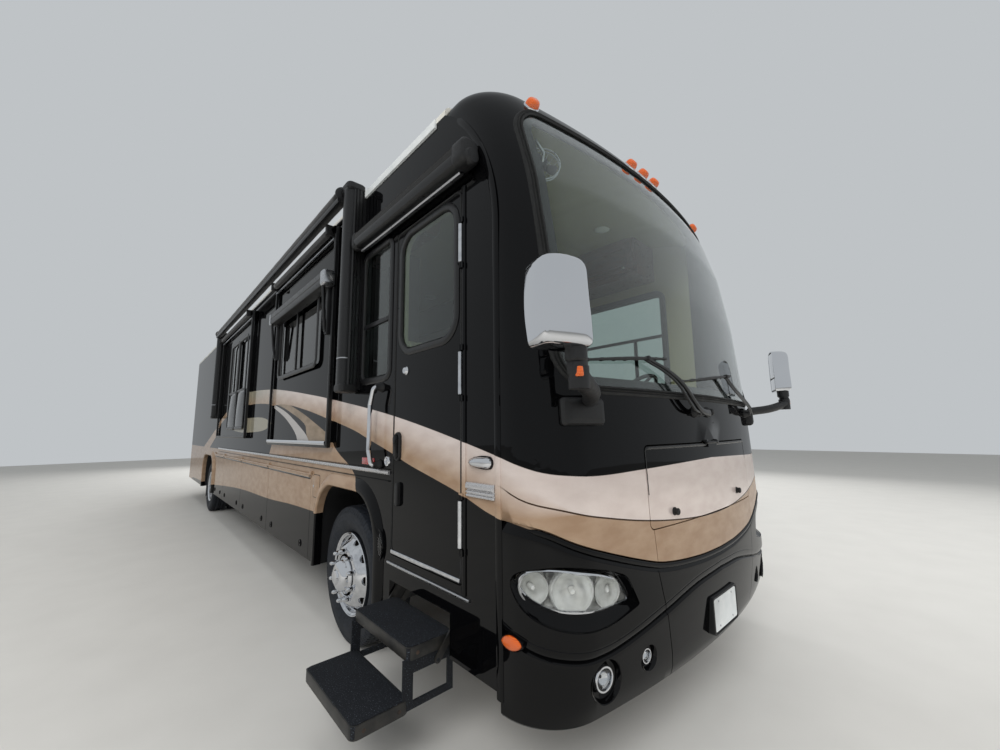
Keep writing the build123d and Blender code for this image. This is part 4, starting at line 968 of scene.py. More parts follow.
def makeNose():
    # The cap above the painted band's lower edge keeps the CAD's form
    upper = newPiece("nose_upper_shell", nodes["front_cap"].data.copy())
    paint(upper.data, coachPaint)
    bm = bmesh.new()
    bm.from_mesh(upper.data)
    bmesh.ops.remove_doubles(bm, verts=bm.verts, dist=1e-5)
    bm.to_mesh(upper.data)
    bm.free()
    finishPiece(upper, mainBody)
    edge = set()
    for u in spread(-1.5, 1.5, 120):
        point = nosePoint(u, easeAlong(noseLines["bandLow"], abs(u)) + 0.002, seamed=False)
        edge.add((math.copysign(1.45, point.y) if abs(u) > 1.43 else point.y, point.z))
    below = Shape()
    outline = [(-1.45, 0.1), (1.45, 0.1)] + sorted(edge, reverse=True)
    below.rings([[Vector((x, a, b)) for a, b in outline] for x in (1.2, 2.6)])
    cutBy(upper, below)
    # The bumper's upright seams run on through the band to the hatch's lower corners
    cutBy(upper, slitCutter(0.652, 0.83, 0.669, 1.05))
    smooth(upper, 30)

    skin = bumperSkin()
    lampCut, discs = Shape(), Shape()
    lampCut.rings([[lampPoint(s, h, depth) for s, h in lampOutline("recess")] for depth in (0.35, 1.4)])
    cutBy(skin, lampCut.bothSides())
    for across, height, recess, ring in fogLamps.values():
        face, ahead = facing(-across, height)
        discs.tube([face - 0.1 * ahead, face + 0.1 * ahead], recess, 48)
    cutBy(skin, discs.bothSides())
    # Panel gaps between the bumper's three sections
    cutBy(skin, slitCutter(0.655, 0.86, 0.5, 0.2))
    smooth(skin, 28)
    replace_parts(skin, "front_cap")

    # Half-round ridge under the painted band
    ridge = Shape()
    rings = []
    for u in spread(-1.36, 1.36, 120):
        height = easeAlong(noseLines["bandLow"], abs(u)) - 0.016
        size = min(1.0, (1.37 - abs(u)) / 0.06)
        rings.append([nosePoint(u, height + 0.0125 * size * math.cos(turn), -0.003 + 0.011 * size * math.sin(turn))
                      for turn in circle(16)])
    ridge.rings(rings)
    ridge.make("nose_band_ridge", blackGloss, "front_cap", 60)

    for name, shape, material in headLampUnit():
        piece = shape.bothSides().make(f"head_lamp_{name}", material, "front_lamps")
        if name == "lens":
            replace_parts(piece, "front_lamps")
    for place, values in fogLamps.items():
        for name, shape, material in fogUnit(*values):
            shape.bothSides().make(f"bumper_lamp_{place}_{name}", material, "front_lamps")


makeNose()
print("nose made")


# Windshield: one curved pane in a black ceramic border, held by a ridged rubber moulding
windshield = {
    "half": 1.165, "low": 1.69, "high": 3.205, "corner": 0.17, "glass": 0.007, "border": 0.055, "grid": (96, 56),
}


def faceAt(y, z, out=0.0):
    # A point of the nose at this y and z, moved out along its slope
    def at(size, z):
        return capAt(math.copysign(size, y) if y else 0.0, z)

    size = min(abs(y), sideY - 0.002)
    point = at(size, z)
    if abs(y) > size:
        point.y = y
    if out == 0:
        return point
    dy = at(max(size - 0.004, 0), z) - point
    level = Vector((1, 0, 0)) if abs(dy.y) < 1e-7 else Vector((dy.y, -dy.x, 0)) * (1 if dy.y > 0 else -1)
    slope = (at(size, z + 0.01) - at(size, z - 0.01)).normalized()
    level.normalize()
    return point + (level - slope * level.dot(slope)).normalized() * out


def makeWindshield():
    half, low, high = windshield["half"], windshield["low"], windshield["high"]
    outline = [tuple(p) for p in evenly(rectBetween(-half, half, low, high, windshield["corner"], 10), 220)]
    # The pane: a grid inside the outline, then cut to it
    shape = Shape()
    columns, rows = windshield["grid"]
    wide = columns + 1
    for inset in (-0.002, -0.002 - windshield["glass"]):
        points = [faceAt(y, z, inset) for z in spread(low - 0.02, high + 0.02, rows)
                  for y in spread(-half - 0.01, half + 0.01, columns)]
        faces = []
        for a in (j * wide + i for j in range(rows) for i in range(columns)):
            quad = (a, a + 1, a + wide + 1, a + wide)
            faces.append(quad if inset > -0.005 else quad[::-1])
        shape.add(points, faces)
    layer = wide * (rows + 1)
    rim = list(range(wide)) + [j * wide + columns for j in range(1, rows + 1)]
    rim += [rows * wide + i for i in range(columns - 1, -1, -1)] + [j * wide for j in range(rows - 1, 0, -1)]
    shape.faces += [[a, a + layer, b + layer, b] for a, b in zip(rim, rim[1:] + rim[:1])]
    pane = shape.make("windshield_pane", clearGlass, "windshield", 40)
    cutter = Shape()
    cutter.rings([[Vector((x, a, b)) for a, b in outline] for x in (1.2, 2.6)])
    cutBy(pane, cutter, "INTERSECT")
    smooth(pane, 40)
    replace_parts(pane, "windshield")
    # Ceramic border printed on the inner face, and a rubber moulding with three ridges
    border, moulding = Shape(), Shape()
    edge = windshield["border"]
    border.wrap(outline, faceAt, [(0.0, -0.0105), (0.0, -0.0125), (-edge, -0.0125), (-edge, -0.0105)])
    moulding.wrap(outline, faceAt, mm(((-12, -4), (-14, 6), (-6, 11), (-1, 4), (4, 12), (10, 5), (16, 11), (24, 7),
                                       (28, 0), (26, -6))))
    makeAll("windshield", ("windshield_border", border, blackMoulded, 40),
            ("windshield_moulding", moulding, rubber, 60))


makeWindshield()
print("windshield made")


# Side trim. Strips and sections are (outward, height) pairs in millimetres.
sideStrips = (
    # rear x, front x, low z, high z, stands out
    (-5.9, 0.7, 1.241, 1.269, 0.014), (-5.9, 0.7, 1.273, 1.277, 0.010), (-5.9, 0.7, 1.2, 1.207, 0.010),
)
windowFrames = (
    # body, sign, rear x, front x, low z, top z, corner, face, bars as (way, share, share that it ends at)
    ("right_front_room", -1, -1.9, -0.65, 2.12, 2.84, 0.06, 1.3353, (("v", 0.5),)),
    ("right_rear_room", -1, -4.93, -4.33, 1.6, 2.96, 0.06, 1.3353, (("h", 0.412),)),
    ("right_rear_room", -1, -4.28, -3.68, 1.6, 2.96, 0.06, 1.3353, (("h", 0.412),)),
    ("left_room", 1, -1.9, -0.65, 2.12, 2.84, 0.06, 1.3353, (("v", 0.5),)),
    ("left_room", 1, -4.93, -3.68, 2.16, 2.9, 0.06, 1.3353, (("v", 0.5),)),
    (mainBody, -1, 0.23, 0.66, 1.87, 2.83, 0.06, 1.285, (("h", 0.42),)),
    (mainBody, 1, 0.15, 1.33, 1.86, 2.83, 0.06, 1.285, (("v", 0.73, 0.57), ("h", 0.57))),
    ("entry_door", -1, 0.8, 1.4, 2.0, 2.775, 0.13, 1.285, ()),
)
arches = {"front": (0.0, 0.565), "rear": (-7.0, 0.69), "top": 1.11, "corner": 0.33, "tubFoot": 0.62}


def sidePoint(sign, face=sideY):
    return lambda x, z, out: Vector((x, sign * (face + out), z))


onRight, onLeft = sidePoint(-1), sidePoint(1)


def ridge(low, high, out):
    # Section of a moulding with softened edges
    height = high - low
    return [(0.0, low), (out * 0.7, low + height * 0.08), (out, low + height * 0.3), (out, low + height * 0.7),
            (out * 0.7, low + height * 0.92), (0.0, high)]


def makeWindowFrames():
    # Black anodised clamp rings with a rubber inner lip; sliders and fixed bars stand in the opening
    clamp = mm(((-16, -12), (-18, 4), (-12, 10), (4, 12), (18, 10), (26, 4), (27, 0)))
    lip = mm(((-22, -14), (-24, -4), (-18, 6), (-15, -10)))
    groups = {}
    for body, sign, rear, front, low, top, corner, face, bars in windowFrames:
        frames, lips = groups.setdefault(body, (Shape(), Shape()))
        outline = rectBetween(rear, front, low, top, corner, 7)
        frames.wrap(outline, sidePoint(sign, face), clamp)
        lips.wrap(outline, sidePoint(sign, face), lip)
        for way, share, *upTo in bars:
            if way == "v":
                x = rear + (front - rear) * share
                limits = ((x - 0.018, x + 0.018), (low + 0.01, low + (top - low) * (upTo[0] if upTo else 0.99)))
            else:
                z = low + (top - low) * share
                limits = ((rear + 0.01, front - 0.01), (z - 0.016, z + 0.016))
            frames.box(limits[0], sorted((sign * (face - 0.012), sign * (face + 0.006))), limits[1], 0.003)
    for body, (frames, lips) in groups.items():
        makeAll("side_windows" if body == mainBody else body, (f"{body}_window_frames", frames, blackPowder, 35),
                (f"{body}_window_seals", lips, rubber, 50), body=body)


def makeStrips():
    bright, black, gutters = Shape(), Shape(), Shape()
    for target, (x0, x1, z0, z1, out) in zip((bright, black, black), sideStrips):
        for place in (onRight, onLeft):
            target.strip(ridge(z0, z1, out), place, (x0, x1))
    # Drip rail along the roof's edge, ahead of the awning, and all along the other side
    gutter = mm(((0, 3335), (12, 3340), (14, 3352), (14, 3392), (8, 3398), (0, 3398)))
    for place, x0 in ((onRight, 0.2), (onLeft, -10.2)):
        gutters.strip(gutter, place, (x0, 1.19))
    makeAll("roof", ("roof_edge_gutters", gutters, plateEnamel, 30))
    makeAll("right_wall", ("side_belt_mouldings", bright, silverTrim, 30),
            ("side_belt_shadow_strips", black, blackGloss, 35))
    # Top strips of the luggage doors, each with a black strip under it that is a painted shadow line, and the low
    # strips of the rooms
    bead = mm(((0, 1112), (9, 1114), (14, 1122), (14, 1136), (9, 1144), (0, 1146)))
    latchProfile = mm(((0, 0), (0, 30), (4, 32), (7, 28), (4, 24), (4, 8), (9, 6), (9, 0)))
    for side, sign, place in (("right", -1, onRight), ("left", 1, onLeft)):
        for body in (f"{side}_luggage_door_{number}" for number in (1, 2, 3, 4)):
            low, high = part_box(body)
            x = (low.x + 0.02, high.x - 0.02)
            strip, under, latch = Shape(), Shape(), Shape()
            strip.strip(bead, place, x)
            # The black strip under each top strip is painted shadow: a dark line where the strip's shadow would fall
            under.box(x, sorted((sign * sideY, sign * (sideY + 0.006))), (1.101, 1.112), 0.001)
            for spot in (low.x + 0.22, high.x - 0.22):
                latch.lathe((spot, sign * sideY, 0.52), (0, sign, 0), latchProfile, 32)
            makeAll(body, (f"{body}_strip", strip, chrome, 30), (f"{body}_strip_foot", under, blackPowder, 30),
                    (f"{body}_latches", latch, blackGloss, 35), body=body)
    bead = mm(((0, 1406), (8, 1408), (12, 1416), (12, 1434), (8, 1442), (0, 1444)))
    for room, sign in rooms:
        if room != "right_rear_room":
            low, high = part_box(room)
            strip = Shape()
            strip.strip(bead, sidePoint(sign, 1.3353), (low.x + 0.01, high.x - 0.04))
            makeAll(room, (f"{room}_low_strip", strip, chrome, 30), body=room)


def makeRoomSeals():
    # Bulb seal round each room's flange, in black rubber
    bulb = mm(((-30, 25.2), (-30, 31), (-24, 34), (-6, 34), (3, 28), (4, 2), (-1, 2), (-1, 25.2)))
    for room, sign in rooms:
        low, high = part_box(room)
        seal = Shape()
        seal.wrap(rectBetween(low.x, high.x, low.z, 3.285, 0.012, 2), sidePoint(sign, coach["roomSide"]), bulb)
        makeAll(room, (f"{room}_edge_trim", seal, blackPowder, 35), body=room)


def makeLowerPanes():
    # Dark panes over the panel under the second room's windows, in the same frames
    panes = Shape()
    for x0, x1 in ((-4.93, -4.33), (-4.28, -3.68)):
        outline = roundRect(x1 - x0 - 0.02, 0.53, 0.05, 5, ((x0 + x1) / 2, 1.877))
        panes.slab(outline, sidePoint(-1, 1.3353), 0.0005, 0.0045, 0.001)
    panes.make("right_rear_room_lower_panes", tintedGlass, "right_rear_room_windows", body="right_rear_room")


def makeFuelDoor():
    # Filler door ahead of the first luggage door, with its seam and a round lock
    door, seam, lock = Shape(), Shape(), Shape()
    outline = roundRect(0.162, 0.186, 0.02, 5, (-0.632, 1.054))
    door.slab(outline, onRight, 0.0, 0.0025, 0.001)
    seam.wrap(outline, onRight, mm(((0.5, -1), (0.5, 1.2), (5, 1.2), (5, -1))))
    lock.lathe((-0.692, -sideY, 1.05), (0, -1, 0), mm(((0, 0), (0, 11), (5, 11), (6.5, 9), (6.5, 0))), 24)
    makeAll("right_wall", ("fuel_door_panel", door, coachPaint, 40), ("fuel_door_seam", seam, rubber, 40),
            ("fuel_door_lock", lock, chrome, 40))


def makeArches():
    # Flared wheel arch lips in body colour, standing proud of the wall
    top, corner, foot = arches["top"], arches["corner"], arches["tubFoot"]
    flare = mm(((-12, -35), (-14, 20), (-7, 30), (10, 32), (35, 27), (70, 8), (78, 0)))
    outer, inner, sheet = sideY - 0.032, 0.49, 0.004
    for name in ("front", "rear"):
        middle, half = arches[name]
        low, high = middle - half, middle + half
        outline = [(low, coach["skirt"])] + arc((low + corner, top - corner), corner, 180, 90, 12)
        outline += arc((high - corner, top - corner), corner, 90, 0, 12) + [(high, coach["skirt"])]
        lip, tub, rings, walls = Shape(), Shape(), [], []
        for pair, away in zip(outline, awayFrom(outline, Vector((middle, 0.6)), False)):
            rings.append([onRight(*(Vector(pair) + away * side), out) for side, out in flare])
            near, far = Vector(pair) + away * 0.001, Vector(pair) + away * (0.001 + sheet)
            walls.append([Vector((p.x, -y, p.y)) for p, y in ((near, outer), (near, inner), (far, inner),
                                                              (far, outer))])
        lip.rings(rings)
        # Moulded tub behind the opening, up to a plate beside the chassis rail
        tub.rings(walls)
        plate = [(low, foot)] + [pair for pair in outline if pair[1] > foot] + [(high, foot)]
        tub.slab(plate, sidePoint(-1, inner), -sheet, 0.0)
        makeAll("right_wall", (f"{name}_wheel_arch_lips", lip, coachPaint, 35),
                (f"{name}_wheel_tubs", tub, blackMoulded, 35), pairs=True)


def makeSeams():
    # Moulding over the joint of side wall and cap. Its upper part is an arc, tangent to the upright part.
    seamX, bendZ, endX, endZ = coach["seamX"], 2.5, 1.28, 3.37
    dx, dz = seamX - endX, endZ - bendZ
    radius = (dx * dx + dz * dz) / (2 * dx)
    path = [(seamX, z) for z in (0.4, 0.9, 1.3, 1.8, 2.2)]
    path += arc((seamX - radius, bendZ), radius, 0, math.degrees(math.atan2(dz, radius - dx)), 16)
    profile = mm(((-20, -1), (-18, 4), (-8, 7.5), (8, 7.5), (18, 4), (20, -1)))
    rings = []
    for (x, z), across in zip(path, awayFrom(path, Vector((-9, 1.5)), False)):
        half = sideY - max(0.0, (z - 3.2) * 0.12)
        rings.append([Vector((x + across.x * a, -(half + b), z + across.y * a)) for a, b in profile])
    seam = Shape()
    seam.rings(rings)
    makeAll("front_cap", ("cap_seam_mouldings", seam, coachPaint, 40), pairs=True)


makeWindowFrames()
makeStrips()
makeRoomSeals()
makeLowerPanes()
makeFuelDoor()
makeArches()
makeSeams()
print("side trim made")


# Wheels: forged 22.5 inch discs with ten oval hand holes, long nut covers, and tyres with their own tread
wheel = {
    "width": 0.275, "count": 10, "holeCircle": 0.238, "holeSize": (0.03, 0.021), "nutCircle": 0.1675,
    "nutLength": 0.052, "treads": 96,
}
# Profiles in millimetres: (outboard of the rim's edge, or of the disc's face or the section's middle, radius)
rimProfile = mm(((-235, 268), (-230, 286), (-12, 287), (-2, 289), (3, 285), (0, 279)))
discs = {
    "rear": mm(((-6, 276), (-12, 262), (-100, 254), (-130, 246), (-150, 225), (-155, 195), (-150, 140), (-148, 118))),
    "front": mm(((-6, 276), (-12, 266), (-30, 262), (-36, 256), (-24, 244), (2, 222), (24, 200), (34, 186),
                 (36, 150), (30, 142))),
}
hubs = {
    # Drive hub: flange and domed axle cover
    "rear": mm(((-5, 125), (20, 122), (25, 112), (100, 108), (112, 100), (118, 72), (135, 66), (145, 50), (148, 0))),
    # Baby-moon cap over the steer hub, with a small oil cap boss
    "front": mm(((-5, 128), (6, 127), (20, 108), (42, 102), (58, 88), (66, 66), (67, 50), (78, 46), (82, 30),
                 (83, 0))),
}
drums = {
    "rear": mm(((-360, 0), (-360, 210), (-190, 210), (-185, 120), (-185, 0))),
    "front": mm(((-170, 0), (-170, 235), (-60, 235), (-50, 120), (-50, 0))),
}
# Half of a tyre's section: (share of the half width, radius)
tyreSection = ((0.62, 0.287), (0.7, 0.292), (0.8, 0.31), (0.93, 0.345), (0.995, 0.378), (1, 0.392), (0.985, 0.404),
               (0.99, 0.408), (0.97, 0.43), (0.93, 0.449), (0.9, 0.46), (0.86, 0.467), (0.8, 0.4715), (0.54, 0.4755),
               (0.5, 0.463), (0.46, 0.463), (0.42, 0.4765), (0.18, 0.478), (0.14, 0.464), (0.08, 0.464),
               (0.04, 0.4784))
treadBlock = ((0.985, 0.432), (0.93, 0.4535), (0.87, 0.4695), (0.8, 0.4735), (0.56, 0.4775), (0.56, 0.47),
              (0.8, 0.466), (0.86, 0.46), (0.92, 0.445), (0.97, 0.43))


def repeatPiece(name, piece, count, material, step=None, axis=None):
    # Geometry Nodes: one instance per point, in a row one step apart or turned about the axis, realized
    tree = bpy.data.node_groups.new(name, "GeometryNodeTree")

    def socket(label, kind, way="INPUT"):
        return tree.interface.new_socket(label, in_out=way, socket_type=f"NodeSocket{kind}").identifier

    socket("Geometry", "Geometry")
    values = {socket("Count", "Int"): count}
    if step:
        values[socket("Step", "Vector")] = step
    socket("Geometry", "Geometry", "OUTPUT")
    entry = addNode(tree, "NodeGroupInput")
    number = entry.outputs["Count"]
    if step:
        line = addNode(tree, "GeometryNodeMeshLine", {"Count": number, "Offset": entry.outputs["Step"]})
        inputs = {"Points": line.outputs[0]}
    else:
        points = addNode(tree, "GeometryNodePoints", {"Count": number})
        index = addNode(tree, "GeometryNodeInputIndex").outputs[0]
        turn = math2(tree, "MULTIPLY", math2(tree, "DIVIDE", index, number), 2 * math.pi)
        spin = addNode(tree, "FunctionNodeAxisAngleToRotation", {"Axis": axis, "Angle": turn})
        inputs = {"Points": points.outputs[0], "Rotation": spin.outputs[0]}
    copies = addNode(tree, "GeometryNodeInstanceOnPoints", {**inputs, "Instance": entry.outputs["Geometry"]})
    real = addNode(tree, "GeometryNodeRealizeInstances", {0: copies.outputs[0]})
    finish = addNode(tree, "GeometryNodeSetMaterial", {0: real.outputs[0], "Material": material})
    addNode(tree, "NodeGroupOutput", {0: finish.outputs[0]})
    modifier = piece.modifiers.new(name, "NODES")
    modifier.node_group = tree
    for key, value in values.items():
        modifier[key] = value
    applyModifiers(piece)


def repeated(shape, name, material, count, **way):
    # The shape's own piece first, then its copies
    piece = shape.raw(name, [material])
    faceOutward(piece)
    repeatPiece(f"{name}_row", piece, count, material, **way)
    return piece


def shifted(profile, by):
    return [(by + a, r) for a, r in profile]


def makeWheel(side, where):
    rear = where == "rear"
    sign = -1 if side == "right" else 1
    body = f"rear_{side}_wheels" if rear else f"front_{side}_wheel"
    tag = f"{where}_{side}"
    rimNode, tyreNode = f"{tag}_rim", f"{tag}_tyre" + ("s" if rear else "")
    low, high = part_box(tyreNode)
    outer = high.y if sign > 0 else -low.y
    axis = Vector((0, sign, 0))
    front = outer - 0.012
    centre = Vector(((low.x + high.x) / 2, 0, (low.z + high.z) / 2))

    disc, holes = Shape(), Shape()
    profile = shifted(rimProfile + discs[where], front)
    disc.lathe(centre, axis, profile + [(a - 0.012, r) for a, r in profile[6:]][::-1], 120, True)
    piece = disc.raw(f"{tag}_wheel_disc", [polishedWheel])
    faceOutward(piece)
    ring = wheel["holeCircle"] - (0.014 if rear else 0.0)
    tangent, radial = wheel["holeSize"]
    radial *= 0.72 if rear else 0.86
    for i in range(wheel["count"]):
        turn = 2 * math.pi * (i + 0.5) / wheel["count"]
        out, across = Vector((math.sin(turn), 0, math.cos(turn))), Vector((math.cos(turn), 0, -math.sin(turn)))
        holes.rings([[centre + out * ring + depth * axis + tangent * math.cos(a) * across + radial * math.sin(a) * out
                      for a in circle(20)] for depth in (front - 0.22, front + 0.1)])
    cutBy(piece, holes)
    finishPiece(piece, body)
    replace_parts(piece, rimNode)

    face = front - 0.15 if rear else front + 0.034
    nut, hub, drum = Shape(), Shape(), Shape()
    reach = 0.04 if rear else wheel["nutLength"]
    nut.lathe((0, 0, wheel["nutCircle"]), axis, shifted(
        [(-0.004, 0.0), (-0.004, 0.021), (0.006, 0.021), (0.008, 0.0165), (reach * 0.82, 0.0145), (reach, 0.009),
         (reach, 0.0)], face), 14)
    nuts = repeated(nut, f"{tag}_nut_covers", chrome, wheel["count"], axis=axis)
    nuts.data.transform(Matrix.Translation(centre))
    finishPiece(nuts, body)
    hub.lathe(centre, axis, shifted(hubs[where], face))
    drum.lathe(centre, axis, shifted(drums[where], front), 48)
    makeAll(rimNode, (f"{tag}_hub_cover", hub, chrome, 35), (f"{tag}_brake_drum", drum, castIron, 35), body=body)

    # Tyres, with sipes: shallow cross cuts at the shoulders stand as small blocks between them
    carcass, block = Shape(), Shape()
    half = wheel["width"] / 2
    width = 0.0115 if rear else 0.012
    spacing = high.y - low.y - wheel["width"]
    section = [(half * share, r) for share, r in tyreSection]
    section += [(-a, r) for a, r in section][::-1]
    for place in ((outer, outer - spacing) if rear else (outer,)):
        mid = place - half
        carcass.lathe(centre, axis, shifted(section + [(-half * 0.6, 0.28), (half * 0.6, 0.28)], mid), 120, True)
        for way in (-1, 1):
            points = [Vector((math.sin(t / r) * r, 0, math.cos(t / r) * r)) + (mid + way * half * a) * axis
                      for a, r in treadBlock for t in (-width, width)]
            count = len(treadBlock)
            faces = [(2 * i, 2 * i + 1, 2 * ((i + 1) % count) + 1, 2 * ((i + 1) % count)) for i in range(count)]
            faces += [[2 * i for i in range(count)][::-1], [2 * i + 1 for i in range(count)]]
            block.add(points, faces)
    tyres = carcass.make(f"{tag}_tyre_carcass", tyreRubber, tyreNode, 25, body)
    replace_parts(tyres, tyreNode)
    blocks = repeated(block, f"{tag}_tread_blocks", tyreRubber, wheel["treads"], axis=axis)
    blocks.data.transform(Matrix.Translation(centre))
    finishPiece(blocks, body, 25)


for side in ("right", "left"):
    for where in ("front", "rear"):
        makeWheel(side, where)
print("wheels made")


# Mirrors: chrome head on a black arm, from a textured base on the cap
mirror = {"centre": (2.2, -1.42, 1.962), "width": 0.23, "height": 0.345, "turn": 22.0, "glassSplit": -0.055}
mirrorLevels = mm((
    # ahead, drawn in by
    (-50, 8), (-52, 4), (-52, 0), (-30, 0), (-5, 1), (22, 4), (42, 10), (52, 18), (58, 30), (61, 60), (62.5, 100),
))


def mirrorPlace(a, c, b):
    # a across the head outboard, c up and b ahead, about the head's centre
    turn = math.radians(mirror["turn"])
    across = Vector((-math.sin(turn), -math.cos(turn), 0))
    ahead = Vector((math.cos(turn), -math.sin(turn), 0))
    return Vector(mirror["centre"]) + a * across + b * ahead + Vector((0, 0, c))


def reachAt(y):
    # Developed distance of a point of the nose this far from the middle
    s = abs(capS(-y, 1.6))
    return s * bowReach if s <= 1 else bowReach + (s - 1) * (cornerReach - bowReach)


def makeMirrors():
    # The head is crowned at the top and widest near its flat foot
    width, height = mirror["width"], mirror["height"]
    outline = evenly(roundCorners(
        [(-width / 2 + 0.002, -height / 2), (width / 2 - 0.018, -height / 2 + 0.004), (width / 2 + 0.001, -0.02),
         (width / 2 - 0.014, height / 2 - 0.016), (0.004, height / 2 + 0.004),
         (-width / 2 + 0.02, height / 2 - 0.013), (-width / 2, -0.02)],
        (0.022, 0.028, 0.14, 0.045, 0.09, 0.045, 0.14), 6), 72)
    # The shell is full at the front and ends in a flat rim round the glass at the back
    shell, back, panes = Shape(), Shape(), Shape()
    for shape, levels in ((shell, mirrorLevels), (back, mm(((-48, 9), (-46, 20), (-46, 60), (-46, 120))))):
        shape.stack(outline, mirrorPlace, levels, (0, 0), capped=False)
        shape.capLast(len(outline))
    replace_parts(shell.bothSides().make("mirror_head_shell", chrome, "mirrors"), "mirrors")
    edge, gap = 0.022, 0.006
    half = width / 2 - 0.024
    split = mirror["glassSplit"]
    for low, high in ((split + gap, height / 2 - edge), (-height / 2 + edge, split - gap)):
        pane = roundCorners([(-half, low), (half, low), (half, high), (-half, high)], 0.02, 5)
        panes.slab(pane, lambda a, c, b: mirrorPlace(a, c, -b), 0.045, 0.051, 0.002)

    # The arm drops from the head's inboard foot to the base, with a knuckle half way down
    arm, knuckle, lamp, box = Shape(), Shape(), Shape(), Shape()
    start = mirrorPlace(-0.063, -height / 2 + 0.01, 0.0)
    elbow = start + Vector((0.004, 0.005, -0.1))
    base = Vector((2.06, -1.055, 1.632))
    middle = elbow.lerp(base, 0.5) + Vector((0.02, 0.01, -0.012))
    arm.tube(curvePoints([start, start.lerp(elbow, 0.5), elbow, middle, base], 8), 0.037, 18, flat=0.8)
    knuckle.lathe(start + Vector((0, 0, -0.025)), up,
                  mm(((-28, 0), (-28, 34), (-20, 40), (20, 40), (28, 34), (28, 0))), 32)
    knuckle.tube([elbow + Vector((0, 0, 0.03)), elbow - Vector((0, 0, 0.05))], 0.038, 24)
    spot = elbow + Vector((0.022, -0.014, 0.008))
    limits = [(at - half, at + half) for at, half in zip(spot, (0.012, 0.022, 0.018))]
    lamp.box(*limits, 0.004)
    # Base box on the cap's corner
    box.rings([[nosePoint(reachAt(a), b, out) for a, b in
                roundRect(0.19 - 2 * inset, 0.12 - 2 * inset, 0.016 - 0.4 * inset, 5, (1.075, 1.585))]
               for out, inset in mm(((-10, 0), (30, 0), (45, 10), (50, 30)))])
    makeAll("mirrors", ("mirror_back_frame", back, blackMoulded, 35), ("mirror_panes", panes, chrome, 35),
            ("mirror_arm", arm, blackMoulded, 35), ("mirror_knuckles", knuckle, blackMoulded, 35),
            ("mirror_turn_lamp", lamp, amberLens, 35), ("mirror_base", box, blackMoulded, 35), pairs=True)


makeMirrors()
print("mirrors made")


# Awnings. Sections are (outward from the wall, height) pairs.
awning = {
    "armWidth": 0.14, "armZ": (1.8, 3.44), "depth": 0.15, "rollRadius": 0.056, "rollOut": 0.125, "ringZ": 2.05,
    "doorX": (0.215, 1.6), "doorZ": (2.868, 2.998), "doorDepth": 0.115, "canvas": 0.0012,
}
roomFront = coach["roomSide"] + 0.025


def upright(shape, section, x, z, place=onRight):
    # section: (x, outward) pairs swept up
    shape.rings([[place(x + a, level, b) for a, b in section] for level in z])


def endBlock(shape, outline, levels, centre, base=sideY):
    # A moulded end across x: outline of (outward, z) pairs at (x, inset) levels
    shape.stack(outline, lambda a, b, x: Vector((x, -base - max(a, 0.0), b)), levels, centre)


def makeCanvas(name, rings, body, slot):
    # One open sheet, given the cloth's thickness
    shape = Shape()
    shape.rings(rings, closedRings=False, capped=False)
    piece = shape.make(name, awningFabric, slot, 60, body)
    giveWall(piece, awning["canvas"], 0.0)


